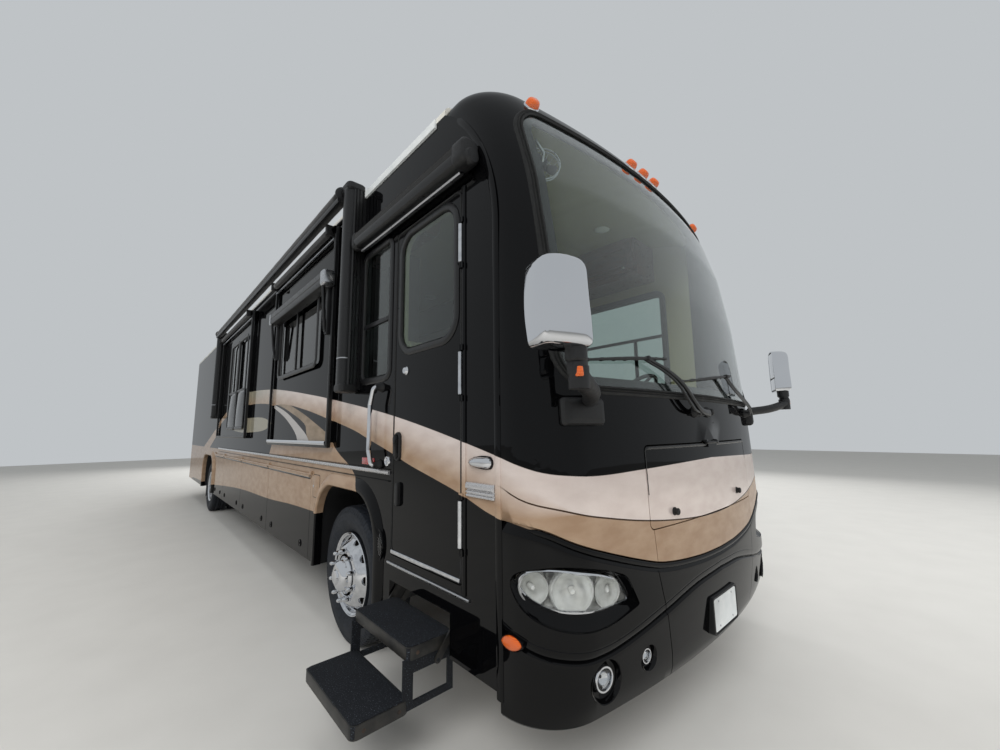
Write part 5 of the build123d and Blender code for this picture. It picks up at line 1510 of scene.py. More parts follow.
def makePatioAwning():
    low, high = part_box("patio_awning")
    half, depth = awning["armWidth"] / 2, awning["depth"]
    armX = (low.x + half, high.x - half)
    bottom, top = awning["armZ"]
    # Wall channel with three grooves, then the round-faced lift arm in front of it
    channel = [(half, 0.0)]
    for groove in (0.028, 0.056, 0.08):
        channel += [(half, groove - 0.006), (half - 0.008, groove - 0.003), (half - 0.008, groove + 0.003),
                    (half, groove + 0.006)]
    channel += [(half - 0.006, 0.096)]
    channel += [(-a, b) for a, b in reversed(channel)]
    lift = []
    for i in range(17):
        turn = math.pi * (1 - i / 16)
        lift.append((half * 0.84 * math.cos(turn), 0.094 + (depth - 0.096) * math.sin(turn) ** 0.7))
    lift += [(half * 0.8, 0.09), (-half * 0.8, 0.09)]
    band = [(a * 1.04, 0.094 + (b - 0.094) * 1.03) for a, b in lift]
    arms, caps, clamps = Shape(), Shape(), Shape()
    for middle in armX:
        upright(arms, channel, middle, (bottom + 0.02, top - 0.05))
        upright(arms, lift, middle, (bottom + 0.03, top - 0.02))
        upright(clamps, band, middle, (awning["ringZ"] - 0.004, awning["ringZ"] + 0.004))
        # Moulded foot and head
        outline = roundRect(2 * half + 0.006, depth - 0.004, 0.035, 6, (middle, depth / 2))
        for z in (bottom, top - 0.06):
            levels = ((z, 0.012), (z + 0.012, 0.0), (z + 0.05, 0.0), (z + 0.06, 0.01))
            caps.stack(outline, lambda a, b, level: onRight(a, level, max(b, 0.001)), levels, (middle, depth / 2))
    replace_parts(arms.make("patio_awning_arms", blackPowder, "patio_awning", 30), "patio_awning")

    # Rolled canvas: a spiral with its free edge, the valance and the hem bar
    rollZ = top - 0.058
    rollOut = awning["rollOut"]
    section = []
    for i in range(57):
        turn = math.radians(-140 + 500 * i / 56)
        radius = awning["rollRadius"] - 0.006 + 0.006 * i / 56
        section.append((rollOut + radius * math.cos(turn), rollZ + radius * math.sin(turn)))
    width = armX[1] - armX[0] - 0.15
    rings = []
    for k in range(61):
        sag = 0.0012 * math.sin(k * 1.7) - 0.006 * math.sin(math.pi * k / 60)
        rings.append([onRight(armX[0] + 0.075 + width * k / 60, b + sag, a) for a, b in section])
    bar, ends, rail = Shape(), Shape(), Shape()
    span = (armX[0] + 0.07, armX[1] - 0.07)
    hem = mm(((150, -75), (168, -75), (175, -62), (175, -45), (165, -38), (150, -40)))
    bar.strip([(a, rollZ + b) for a, b in hem], onRight, span)
    bar.tube([onRight(armX[0] - 0.05, rollZ, rollOut), onRight(armX[1] + 0.05, rollZ, rollOut)], 0.022, 20)
    for x, way in zip(span, (1, -1)):
        ends.lathe(onRight(x, rollZ, rollOut), (way, 0, 0),
                   mm(((0, 0), (0, 50), (4, 64), (14, 66), (18, 58), (18, 0))), 40)
    # Wall rail that holds the canvas
    rail.strip(mm(((0, 3330), (12, 3332), (16, 3340), (16, 3352), (8, 3358), (0, 3358))), onRight, armX)
    makeAll("patio_awning", ("patio_awning_castings", caps, blackMoulded, 40),
            ("patio_awning_clamp_rings", clamps, satinAluminium, 35))
    makeCanvas("patio_awning_canvas_roll", rings, mainBody, "patio_awning")
    makeAll("patio_awning", ("patio_awning_hem_bar", bar, blackPowder, 30),
            ("patio_awning_end_caps", ends, blackMoulded, 35), ("patio_awning_wall_rail", rail, blackPowder, 35))


def makeDoorAwning():
    # Case with a ribbed round face, moulded ends, and a lead bar under it
    (x0, x1), (z0, z1), depth = awning["doorX"], awning["doorZ"], awning["doorDepth"]
    section = [(0.0, z0 + 0.012), (0.02, z0 + 0.004), (0.06, z0), (depth - 0.03, z0 + 0.004),
               (depth - 0.012, z0 + 0.016), (depth - 0.004, z0 + 0.034), (depth, z0 + 0.052)]
    for i in range(4):
        # Four shallow ribs on the face
        level = z0 + 0.058 + i * 0.011
        section += [(depth, level), (depth - 0.003, level + 0.003), (depth - 0.003, level + 0.006),
                    (depth, level + 0.009)]
    section += [(depth - 0.006, z1 - 0.022), (depth - 0.018, z1 - 0.009), (depth - 0.04, z1 - 0.001), (0.014, z1),
                (0.0, z1 - 0.008)]
    case, ends, bar = Shape(), Shape(), Shape()
    case.strip(section, onRight, (x0 + 0.05, x1 - 0.09))
    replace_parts(case.make("door_awning_case", blackPowder, "door_awning", 25), "door_awning")
    middle = (depth / 2, (z0 + z1) / 2)
    outline = roundRect(depth + 0.002, z1 - z0 + 0.01, 0.042, 8, middle)
    for start, end in ((x0, x0 + 0.06), (x1 - 0.1, x1)):
        levels = ((start, 0.014), (start + 0.006, 0.004), (start + 0.014, 0.0), (end - 0.014, 0.0),
                  (end - 0.006, 0.004), (end, 0.014))
        endBlock(ends, outline, levels, middle)
    # Round motor cover on the front end's foot
    ends.lathe(onRight(x1 - 0.02, z0 + 0.035, 0.05), (1, 0, 0), mm(((0, 0), (0, 46), (20, 46), (30, 36), (30, 0))), 36)
    lead = mm(((30, -12), (52, -14), (58, -6), (52, 4), (30, 4)))
    bar.strip([(a, z0 + b) for a, b in lead], onRight, (x0 + 0.05, x1 - 0.1))
    makeAll("door_awning", ("door_awning_ends", ends, blackMoulded, 30),
            ("door_awning_lead_bar", bar, satinAluminium, 35))


def makeToppers():
    # Slide-out toppers: canvas rollers on brackets along the rooms' upper edges
    for room, sign in rooms:
        low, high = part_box(room)
        place = sidePoint(sign, roomFront)
        middleZ, x0, x1 = high.z - 0.034, low.x, high.x
        width = x1 - x0 - 0.14
        rings = []
        for k in range(25):
            ring = []
            for i in range(40):
                turn = math.radians(-150 + 470 * i / 39)
                radius = 0.0295 + 0.004 * i / 39 + 0.0004 * math.sin(5 * k)
                ring.append(place(x0 + 0.07 + width * k / 24, middleZ + radius * math.sin(turn),
                                  0.0272 + radius * math.cos(turn)))
            rings.append(ring)
        makeCanvas(f"{room}_topper_roll", rings, room, room)
        ends, rail = Shape(), Shape()
        for x in (x0 + 0.03, x1 - 0.07):
            ends.box((x, x + 0.04), sorted((sign * (roomFront - 0.002), sign * (roomFront + 0.075))),
                     (middleZ - 0.05, middleZ + 0.04), 0.008)
            ends.tube([place(x - 0.01, middleZ, 0.0272), place(x + 0.05, middleZ, 0.0272)], 0.03, 24)
        drip = mm(((0, -120), (14, -118), (14, -104), (0, -100)))
        rail.strip([(a, high.z + b) for a, b in drip], place, (x0 + 0.02, x1 - 0.02))
        makeAll(room, (f"{room}_topper_brackets", ends, blackMoulded, 35),
                (f"{room}_drip_rail", rail, satinAluminium, 35), body=room)


def makeWindowAwning():
    # Case over the front room's window, its hanging arms and the awning's own arms beside them
    room = "right_front_room"
    rear, front, low, top, foot = -1.955, -0.32, 2.74, 2.86, 2.34
    place = sidePoint(-1, roomFront)
    case, ends, arms = Shape(), Shape(), Shape()
    case.strip([(0.0, low - 0.006), (0.075, low - 0.006), (0.092, low), (0.101, low + 0.016), (0.101, low + 0.044),
                (0.097, low + 0.048), (0.097, low + 0.056), (0.101, low + 0.06), (0.101, top - 0.022),
                (0.094, top - 0.002), (0.076, top + 0.006), (0.0, top + 0.006)], place, (rear - 0.004, front + 0.004))
    middle = (0.052, (low + top) / 2)
    outline = roundRect(0.104, top - low + 0.016, 0.022, 6, middle)
    for x, way in ((front, 1), (rear, -1)):
        levels = [(x + way * out, inset) for out, inset in mm(((0, 0), (50, 0), (64, 4), (70, 14)))]
        endBlock(ends, outline, levels, middle, roomFront)
    half = mm(((-21, 0), (-21, 30), (-17, 39), (-6, 39.5), (-4, 34)))
    channel = half + [(-a, b) for a, b in reversed(half)]
    for armX, away in ((rear + 0.018, -0.03), (front - 0.018, 0.03)):
        upright(arms, channel, armX, (foot - 0.012, foot, low - 0.004), place)
        # The awning's arm leans out from the foot to the case's end
        arms.tube([place(armX, foot + 0.02, 0.042), place(armX + away * 0.6, 2.5, 0.06),
                   place(armX + away, low + 0.02, 0.082)], 0.013, 14)
        arms.lathe(place(armX, foot + 0.02, 0.03), (0, -1, 0), mm(((0, 0), (0, 16), (14, 16), (18, 11), (18, 0))), 20)
    makeAll(room, ("window_awning_case", case, blackPowder, 30), ("window_awning_ends", ends, satinAluminium, 35),
            ("window_awning_arms", arms, blackPowder, 35), body=room)


makePatioAwning()
makeDoorAwning()
makeToppers()
makeWindowAwning()
print("awnings made")


# Entry: door, its fittings, the grab handle's feet and the folding steps
entry = {
    "doorX": (0.735, 1.45), "doorZ": (0.781, 2.82), "handle": (0.807, 1.42), "lowHandle": (0.82, 1.137),
    "lock": (0.881, 1.881), "bayLock": (0.672, 1.325), "hinges": ((0.948, 1.178), (1.687, 1.917), (2.388, 2.612)),
    "gripFeet": ((0.565, 1.805), (0.556, 1.298)), "ribX": (1.492, 1.696), "tearX": (1.51, 1.68),
    "dockingLamp": (0.588, 0.802),
}


def capsule(width, height, centre):
    return roundRect(width, height, min(width, height) / 2 - 1e-4, 10, centre)


def boss(shape, spot, profile, segments=32):
    # A turned piece on the right side's face, with its profile in millimetres
    shape.lathe(onRight(*spot, 0.0), (0, -1, 0), mm(profile), segments)


def makeDoorFittings():
    (x0, x1), (z0, z1) = entry["doorX"], entry["doorZ"]
    # Bead along the door's edge, silver foot strip
    bead, strip, covers, cup, paddle, lock = (Shape() for _ in range(6))
    bead.wrap(rectBetween(x0, x1, z0, z1, 0.05, 6, -0.012), onRight,
              mm(((-6, -1), (-5, 3), (0, 4.5), (5, 3), (6, -1))))
    foot = mm(((-0.5, 4), (5, 5), (7, 10), (7, 21), (5, 26), (-0.5, 27)))
    strip.strip([(a, z0 + b) for a, b in foot], onRight, (x0 + 0.01, x1 - 0.012))
    # Hinge covers turn with the door, about its own axis
    for low, high in entry["hinges"]:
        reach = high - low - 0.01
        covers.lathe((1.452, -(sideY + 0.012), low + 0.004), up,
                     [(0.0, 0.0), (0.0, 0.0105), (0.002, 0.0125), (reach - 0.002, 0.0125), (reach, 0.0105),
                      (reach, 0.0)], 20)
    # Pull handle: moulded escutcheon with a sunk cup and a paddle, and a low pull
    centre = Vector(entry["handle"])
    outline = capsule(0.07, 0.175, centre)
    cup.stack(outline, onRight, mm(((-1, 0), (10, 0), (17, 4), (19, 9), (16.5, 12.5))), centre)
    inner = [shrink(Vector(p), centre, 0.013) for p in outline]
    paddle.stack(inner, lambda a, b, out: onRight(a, b, out + 0.003 * math.sin((b - centre.y) * 25)),
                 mm(((15.5, 0), (22, 1), (27, 5), (29, 12))), centre)
    low = entry["lowHandle"]
    cup.stack(capsule(0.034, 0.14, low), onRight, mm(((-1, 0), (14, 0), (21, 4), (23, 9))), low)
    boss(lock, entry["lock"],
         ((-2, 0), (-2, 26), (3, 27), (7, 23), (13, 21), (16, 18), (16, 8), (13, 7), (13, 0)))
    makeAll("entry_door", ("entry_door_edge_bead", bead, rubber, 60),
            ("entry_door_foot_strip", strip, polishedWheel, 30),
            ("entry_door_hinge_covers", covers, polishedWheel, 40),
            ("entry_door_handle_cups", cup, blackMoulded, 40), ("entry_door_paddle", paddle, blackGloss, 60),
            ("entry_door_lock", lock, chrome, 35), body="entry_door")


def makeEntryTrim():
    rail, cap, post, ribs, tear, rim, plate, cups, light = (Shape() for _ in range(9))
    # Thin rail under the door, the bay lock's cap, the upright moulding ahead of the door
    rail.strip(mm(((-1, 718.5), (6, 719.5), (8.5, 724), (8.5, 730), (6, 733.5), (-1, 734.5))), onRight, (0.70, 1.51))
    boss(cap, entry["bayLock"],
         ((-2, 0), (-2, 34), (6, 34), (12, 30), (14, 24), (11, 20), (9, 12), (12, 10), (12, 0)), 36)
    upright(post, mm(((-16, -1), (-15, 5), (-6, 9), (6, 9), (15, 5), (16, -1))), 1.468, (0.74, 1.2, 1.7, 2.2, 2.82))
    # Ribbed silver block that carries the belt line across the panel, and the teardrop over it
    x0, x1 = entry["ribX"]
    section = mm(((-1, 1268), (12, 1266), (18.5, 1258), (19.5, 1249), (18.5, 1240), (13, 1234), (7, 1232), (7, 1229),
                  (13, 1227), (16.5, 1223), (16, 1219), (8, 1217), (8, 1213), (14, 1211), (15.5, 1206),
                  (13.5, 1201), (-1, 1200)))
    ribs.rings([[onRight(x, b, a * share if a > 0 else a) for a, b in section] for x, share in
                ((x0, 0.45), (x0 + 0.006, 0.9), (x0 + 0.012, 1.0), (x1 - 0.012, 1.0), (x1 - 0.006, 0.9),
                 (x1, 0.45))])
    t0, t1 = entry["tearX"]
    outline = arc((t1 - 0.026, 1.362), 0.026, -90, 90, 12)
    outline += [(t0 + 0.09, 1.3875), (t0 + 0.045, 1.383), (t0 + 0.01, 1.371), (t0, 1.362), (t0 + 0.003, 1.352),
                (t0 + 0.02, 1.343), (t0 + 0.06, 1.3375)]
    outline = evenly(outline, 56)
    centre = (t1 - 0.06, 1.362)
    rim.stack(outline, onRight, mm(((-1, -6), (5, -6), (8, -2), (6, 1))), centre)
    tear.scaled(outline, centre, onRight, ((0.002, 1.0), (0.012, 0.97), (0.02, 0.86), (0.0255, 0.65), (0.028, 0.3)))
    # Plain reflector behind the grab handle
    plate.slab(roundRect(0.19, 0.046, 0.008, 4, (0.386, 1.312)), onRight, -0.001, 0.005, 0.002)
    # Cups under both feet of the grab handle
    for spot in entry["gripFeet"]:
        boss(cups, spot, ((-2, 0), (-2, 34), (4, 34), (12, 29), (34, 21.5), (50, 19.5), (52, 15.5), (52, 0)))
    # Porch light over the window
    light.slab(roundRect(0.16, 0.07, 0.02, 5, (-0.03, 2.93)), onRight, -0.001, 0.03, 0.012)
    makeAll("right_wall", ("entry_threshold_rail", rail, satinAluminium, 35), ("entry_bay_lock", cap, chrome, 35),
            ("entry_panel_moulding", post, coachPaint, 40), ("side_reflector", plate, redLens, 40),
            ("porch_light_lens", light, whiteShroud, 50))
    makeAll("right_wall", ("belt_end_blocks", ribs, silverTrim, 30), ("teardrop_rims", rim, blackGloss, 40),
            ("teardrop_trims", tear, chrome, 70), pairs=True)
    makeAll("grab_handle", ("grab_handle_cups", cups, blackMoulded, 45))


def makeDockingLamps():
    # Low oval lamps behind the doors' foot: clear lens, bowl and dark rim
    rim, bowl, lens = Shape(), Shape(), Shape()
    centre = entry["dockingLamp"]
    turns = [math.radians(degrees) for degrees in range(0, 360, 8)]
    oval = [(centre[0] + 0.058 * math.cos(turn), centre[1] + 0.096 * math.sin(turn)) for turn in turns]
    rim.scaled(oval, centre, onRight, ((-0.001, 1.12), (0.01, 1.12), (0.016, 1.08), (0.017, 1.0), (0.01, 0.95),
                                       (-0.02, 0.95)))
    bowl.scaled(oval, centre, onRight, ((0.008, 0.96), (0.0, 0.9), (-0.018, 0.7), (-0.028, 0.4), (-0.03, 0.14),
                                        (-0.012, 0.12), (-0.008, 0.06)))
    lens.scaled(oval, centre, onRight, ((0.006, 0.955), (0.012, 0.95), (0.017, 0.8), (0.021, 0.5), (0.0225, 0.2)))
    makeAll("right_wall", ("docking_lamp_rims", rim, blackGloss, 40), pairs=True)
    makeAll("front_lamps", ("docking_lamp_bowls", bowl, reflector, 50), ("docking_lamp_lenses", lens, lensGlass, 60),
            pairs=True)


def makeStepDressing():
    # Pressed steel treads: a grit sheet on a pan with a turned-down lip, capped ends
    grit, pans, bolts = Shape(), Shape(), Shape()
    for y0, y1, top in ((-1.5, -1.25, 0.53), (-1.75, -1.49, 0.32)):
        centre = (1.04, (y0 + y1) / 2)
        outline = roundRect(0.58, y1 - y0, 0.03, 5, centre)

        def onTread(a, b, out):
            return Vector((a, b, top + out))

        grit.stack(outline, onTread, mm(((0, 4), (3.5, 4), (5, 7))), centre)
        # Folded lip round the tread's edge
        pans.wrap(outline, onTread, mm(((-4, -2), (-1, 2.8), (3, 1), (4.5, -6), (4.5, -50), (2.5, -53), (-4, -51))))
        for x, way in ((0.7475, -1), (1.3325, 1)):
            for y in (y0 + 0.05, y1 - 0.05):
                bolts.lathe((x + way * 0.002, y, top - 0.026), (way, 0, 0),
                            mm(((0, 0), (0, 9), (0.6, 9), (1.2, 7), (1.2, 0))), 12)
    makeAll("entry_steps", ("step_grit_sheets", grit, gritTread, 40), ("step_pans", pans, chassisPaint, 35),
            ("step_bolts", bolts, castIron, 35), body="entry_steps")


makeDoorFittings()
makeEntryTrim()
makeDockingLamps()
makeStepDressing()
print("entry made")


# Nose fittings
nose = {
    "markers": ((0.0, 3.27), (0.155, 3.27), (-0.155, 3.27), (1.033, 3.262), (-1.033, 3.262)),
    "knobs": ((-0.487, 1.103), (0.371, 1.116)), "plate": (-0.03, 0.535), "plateSize": (0.31, 0.16),
}
# Wipers on the nose as (y, z): spindles, blade from end to end, arm from spindle to blade
wipers = (
    {"spindles": ((-0.165, 1.598), (0.01, 1.6)), "blade": ((-1.06, 1.81), (-0.45, 1.87)),
     "arm": ((-0.03, 1.593), (-0.14, 1.6), (-0.218, 1.634), (-0.349, 1.743), (-0.478, 1.805), (-0.63, 1.852))},
    {"spindles": ((0.93, 1.612), (1.055, 1.612)), "blade": ((-0.327, 1.759), (0.5, 1.857)),
     "arm": ((1.06, 1.6), (0.99, 1.625), (0.89, 1.661), (0.57, 1.746), (0.35, 1.838))},
)


def noseFrame(y, z):
    # Point, outward, across and up directions of the nose here
    point = faceAt(y, z)
    outward = (faceAt(y, z, 0.01) - point).normalized()
    high = (up - outward * up.dot(outward)).normalized()
    return point, outward, high.cross(outward), high


def wiperBar(shape, pairs, wide, thick, lift):
    # A bar that follows the nose at its own height above it, narrower towards the blade
    places = [noseFrame(spot.x, spot.y) for spot in curvePoints([(y, z, 0) for y, z in pairs], 6)]
    last = len(places) - 1
    rings = []
    for i, (point, outward, across, high) in enumerate(places):
        t = i / last
        along = (places[min(i + 1, last)][0] - places[max(i - 1, 0)][0]).normalized()
        side = along.cross(outward).normalized()
        width = wide * (1.5 - 0.8 * t)
        spot = point + outward * (lift + 0.014 * math.sin(math.pi * min(1.0, t * 1.1)))
        section = ((-width, -thick), (-width * 0.9, thick * 0.4), (-width * 0.5, thick), (width * 0.5, thick),
                   (width * 0.9, thick * 0.4), (width, -thick))
        rings.append([spot + side * a + outward * b for a, b in section])
    shape.rings(rings)


def makeWipers():
    arms, blades, squeegees, caps = Shape(), Shape(), Shape(), Shape()
    cap = mm(((0, 0), (0, 34), (18, 31), (30, 24), (38, 19), (50, 18), (55, 12), (55, 0)))
    wedge = mm(((-4, 22), (4, 22), (3.5, 14), (1, 10), (0.6, 1.5), (-0.6, 1.5), (-1, 10), (-3.5, 14)))
    for wiper in wipers:
        # Moulded base with its two capped spindles
        for pair in wiper["spindles"]:
            point, outward = noseFrame(*pair)[:2]
            caps.lathe(point - outward * 0.01, outward, cap, 24)
        wiperBar(caps, wiper["spindles"], 0.02, 0.01, 0.008)
        wiperBar(arms, wiper["arm"], 0.0125, 0.007, 0.036)
        reach = len(wiper["arm"]) - 1
        link = [(y - 0.075 * (1 - i / reach) - 0.02, z + 0.004 - 0.014 * i / reach)
                for i, (y, z) in enumerate(wiper["arm"])]
        wiperBar(arms, link, 0.006, 0.005, 0.036)
        # Blade: a bowed bridge, claws and the rubber edge
        start, end = (Vector(pair) for pair in wiper["blade"])
        rings, edge = [], []
        for i in range(37):
            share = abs(i / 18 - 1)
            skin, out, side, high = noseFrame(*start.lerp(end, i / 36))
            lift = 0.028 + 0.012 * (1 - share ** 2)
            width = 0.0085 * (1 - 0.5 * share)
            bar = ((-width, -0.004), (-width, 0.003), (0.0, 0.006), (width, 0.003), (width, -0.004))
            rings.append([skin + high * a + out * (lift + b) for a, b in bar])
            edge.append([skin + high * a + out * b for a, b in wedge])
        blades.rings(rings)
        squeegees.rings(edge)
        for i in range(8):
            t = 0.03 + 0.94 * i / 7
            skin, out, side, high = noseFrame(*start.lerp(end, t))
            lift = 0.028 + 0.012 * (1 - (2 * t - 1) ** 2)
            claw = ((-0.0065, 0.017), (-0.0085, 0.022), (-0.008, lift), (0.008, lift), (0.0085, 0.022),
                    (0.0065, 0.017))
            blades.rings([[skin + high * a + out * b + side * c for a, b in claw] for c in (-0.005, 0.005)])
        skin, out = noseFrame(*wiper["arm"][-1])[:2]
        blades.lathe(skin + out * 0.024, out, mm(((0, 0), (0, 14), (20, 14), (26, 9), (26, 0))), 18)
    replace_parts(arms.make("wiper_arms", blackPowder, "wipers", 40), "wipers")
    makeAll("wipers", ("wiper_pivot_caps", caps, blackMoulded, 40), ("wiper_blades", blades, blackMoulded, 35),
            ("wiper_rubbers", squeegees, rubber, 60))


def rounder(value, power):
    return math.copysign(abs(value) ** power, value)


def makeMarkers():
    # Bullet clearance lamps: chrome base, amber lens with a rounded nose
    bases, lenses, rim, lens = Shape(), Shape(), Shape(), Shape()
    oval = [(rounder(math.cos(turn), 0.75) * 0.042, rounder(math.sin(turn), 0.75) * 0.034) for turn in circle(28)]
    for y, z in nose["markers"]:
        point, outward = noseFrame(y, z)[:2]
        ahead = Vector((1, 0, 0))
        ahead = (ahead - outward * ahead.dot(outward)).normalized()
        side = outward.cross(ahead)

        def onRoof(a, b, out):
            return point + side * a + ahead * b + outward * out

        bases.scaled(oval, (0, 0), onRoof, ((-0.006, 1.12), (0.006, 1.12), (0.011, 1.04)))
        lenses.scaled(oval, (0, 0), onRoof, ((0.009, 1.0), (0.024, 0.96), (0.036, 0.86), (0.044, 0.68), (0.048, 0.4)))
    # Low lamps at the bumper's ends
    x0, x1, z0, z1 = 1.735, 1.85, 0.622, 0.678
    middle = ((x0 + x1) / 2, (z0 + z1) / 2)
    almond = []
    for turn in circle(48):
        a, b = math.cos(turn), math.sin(turn)
        almond.append((middle[0] + (x1 - x0) / 2 * a, middle[1] + (z1 - z0) / 2 * rounder(b, 1.35) + 0.006 * a))
    rim.scaled(almond, middle, onRight, ((-0.014, 1.16), (0.004, 1.16), (0.008, 1.08), (0.006, 1.0)))
    lens.scaled(almond, middle, onRight, ((-0.012, 1.04), (0.008, 1.0), (0.015, 0.9), (0.0185, 0.7), (0.02, 0.35)))
    makeAll("marker_lamps", ("roof_marker_bases", bases, chrome, 40), ("roof_marker_lenses", lenses, amberLens, 50))
    makeAll("marker_lamps", ("side_marker_rims", rim, blackGloss, 40), pairs=True)
    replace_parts(lens.bothSides().make("side_marker_lenses", amberLens, "marker_lamps", 50), "marker_lamps")


def makeHatchTrim():
    # Rubber knobs the raised hatch rests on, and the black lip along its upper edge
    knobs, lip = Shape(), Shape()
    for y, z in nose["knobs"]:
        point, outward = noseFrame(y, z)[:2]
        knobs.lathe(point, outward,
                    mm(((-4, 0), (-4, 19), (4, 20), (10, 15), (14, 16.5), (22, 17), (26, 13), (26, 0))), 24)
    path = [(-0.684, 1.2), (-0.684, 1.4)] + arc((-0.664, 1.4), 0.02, 180, 90, 6, 1)
    path += [(-0.664 + 1.328 * i / 30, 1.42) for i in range(1, 31)]
    path += arc((0.664, 1.4), 0.02, 90, 0, 6, 1)[:-1] + [(0.684, 1.4), (0.684, 1.3)]
    rings = []
    for i, (pair, away) in enumerate(zip(path, awayFrom(path, Vector((0, 1.25)), False))):
        size = min(1.0, i / 6, (len(path) - 1 - i) / 6)
        profile = ((-0.014 * (0.3 + 0.7 * size), -0.002), (-0.011 * size, 0.006 * size + 0.001),
                   (-0.004 * size, 0.0095 * size + 0.0015), (0.002 * size, 0.008 * size + 0.0015),
                   (0.0045, 0.003), (0.005, -0.002))
        rings.append([faceAt(pair[0] + away.x * a, pair[1] + away.y * a, b) for a, b in profile])
    lip.rings(rings)
    makeAll("front_hatch", ("front_hatch_bumpers", knobs, rubber, 40), ("front_hatch_lip", lip, blackPowder, 50),
            body="front_hatch")


def makePlate():
    # Blank plate in a black frame on the bumper
    y0, z0 = nose["plate"]
    width, height = nose["plateSize"]
    point, outward = noseFrame(y0, z0)[:2]
    outward = Vector((outward.x, outward.y, 0)).normalized()
    across = up.cross(outward)
    face = max((faceAt(y0 + a, z0 + b) - point).dot(outward) for a in (-width / 2, 0, width / 2)
               for b in (-height / 2, 0, height / 2))
    holder, sheet, screws = Shape(), Shape(), Shape()

    def onPlate(a, b, out):
        return point + across * a + up * b + outward * (face + out)

    holder.stack(roundRect(width + 0.024, height + 0.024, 0.016, 5), onPlate,
                 mm(((-30, 0), (12, 0), (16, 4), (15, 12), (11, 13))), (0, 0))
    sheet.stack(roundRect(width - 0.004, height - 0.004, 0.012, 5), onPlate,
                mm(((10.5, 0), (12.5, 0), (13.5, 1.2), (13.5, 3.5), (12.5, 5))), (0, 0))
    for a in (-0.09, 0.09):
        for b in (-0.06, 0.06):
            screws.lathe(onPlate(a, b, 0.012), outward, mm(((0, 0), (0, 5.5), (2.5, 5), (4, 3), (4, 0))), 14)
    makeAll("front_cap", ("number_plate_holder", holder, blackMoulded, 35),
            ("number_plate_blank", sheet, plateEnamel, 35), ("number_plate_screws", screws, chrome, 35))


makeWipers()
makeMarkers()
makeHatchTrim()
makePlate()
print("nose fittings made")


# Roof: air conditioner shrouds, vents and pipes
roofKit = {
    "unitX": (-1.6, -6.2), "unitSize": (1.05, 0.72), "roofZ": 3.44, "ventX": (-3.6, -8.6),
    "pipes": ((-4.3, 0.7), (-7.4, -0.6), (-9.2, 0.5)),
}
shroudStations = (
    # along x, half width, height
    (0.525, 0.30, 0.10), (0.515, 0.325, 0.16), (0.48, 0.34, 0.2), (0.4, 0.352, 0.25), (0.28, 0.358, 0.3),
    (0.12, 0.36, 0.333), (-0.08, 0.36, 0.348), (-0.28, 0.358, 0.343), (-0.42, 0.354, 0.325), (-0.49, 0.346, 0.3),
    (-0.518, 0.335, 0.27), (-0.525, 0.32, 0.22),
)


def onRoofTop(x, y, out):
    return Vector((x, y, roofKit["roofZ"] + out))


def slatRow(name, section, x, place, count, step, material, body):
    # Louvres: one slat, repeated by Geometry Nodes
    slat = Shape()
    slat.rings([[place(spot, a, b) for a, b in section] for spot in x])
    finishPiece(repeated(slat, name, material, count, step=step), body)


def makeAirUnits():
    slot = "roof_air_conditioners"
    length, width = roofKit["unitSize"]
    shrouds, feet = Shape(), Shape()
    for x in roofKit["unitX"]:
        # Streamlined shroud: low sloped front, crowned top, drawn-in skirt
        rings = []
        for along, half, top in shroudStations:
            profile = [(-half, 0.012), (-half + 0.004, 0.06), (-half + 0.012, top * 0.55), (-half + 0.04, top * 0.82),
                       (-half + 0.1, top * 0.95), (-half + 0.2, top * 0.99), (0.0, top)]
            profile += [(-a, b) for a, b in profile[-2::-1]]
            rings.append([onRoofTop(x + along, a, b) for a, b in profile])
        shrouds.rings(rings)
        feet.stack(roundRect(length - 0.006, width - 0.006, 0.05, 6, (x, 0)), onRoofTop,
                   mm(((2, 0), (30, 0), (34, 4), (36, 12))), (x, 0))
    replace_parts(shrouds.make("air_unit_shrouds", whiteShroud, slot, 50), slot)
    makeAll(slot, ("air_unit_bases", feet, rubber, 40))
    # Louvres on both flanks
    section = mm(((0, 0), (12, -4), (13, -1), (1, 9)))
    for number, x in enumerate(roofKit["unitX"], 1):
        for side, sign in (("right", -1), ("left", 1)):
            slatRow(f"air_unit_{number}_louvres_{side}", section, (x - 0.36, x + 0.12),
                    lambda a, b, c: Vector((a, sign * (0.348 + b), 3.49 + c)), 7, (0.0, -sign * 0.0012, 0.017),
                    whiteShroud, mainBody)


def makeRoofKit():
    lids, frames, pipes = Shape(), Shape(), Shape()
    for x in roofKit["ventX"]:
        outline = roundRect(0.42, 0.42, 0.05, 6, (x, 0.0))
        frames.stack(outline, onRoofTop, mm(((-2, -25), (8, -25), (12, 0), (50, 0), (54, 12))), (x, 0.0))
        lids.stack(outline, onRoofTop,
                   mm(((45, -18), (60, -20), (78, -12), (94, 20), (103, 90), (105, 160))), (x, 0.0))
    for x, y in roofKit["pipes"]:
        pipes.lathe(onRoofTop(x, y, -0.002), up,
                    mm(((0, 0), (0, 75), (12, 70), (20, 45), (80, 43), (85, 60), (100, 60), (108, 45), (110, 0))), 28)
    makeAll("roof", ("roof_vent_frames", frames, whiteShroud, 40), ("roof_vent_lids", lids, roofSheet, 60),
            ("roof_vent_pipes", pipes, whiteShroud, 40))


makeAirUnits()
makeRoofKit()
print("roof made")


# Rear: lamps, engine door louvres, plate, bumper moulding and mud flaps
rear = {
    "x": coach["rearX"], "lampY": (1.01, 1.13), "lampZ": (1.25, 1.7), "grilleY": (-0.29, 0.29), "plate": (0.0, 1.58),
}


def onRear(y, z, out):
    return Vector((rear["x"] - out, y, z))


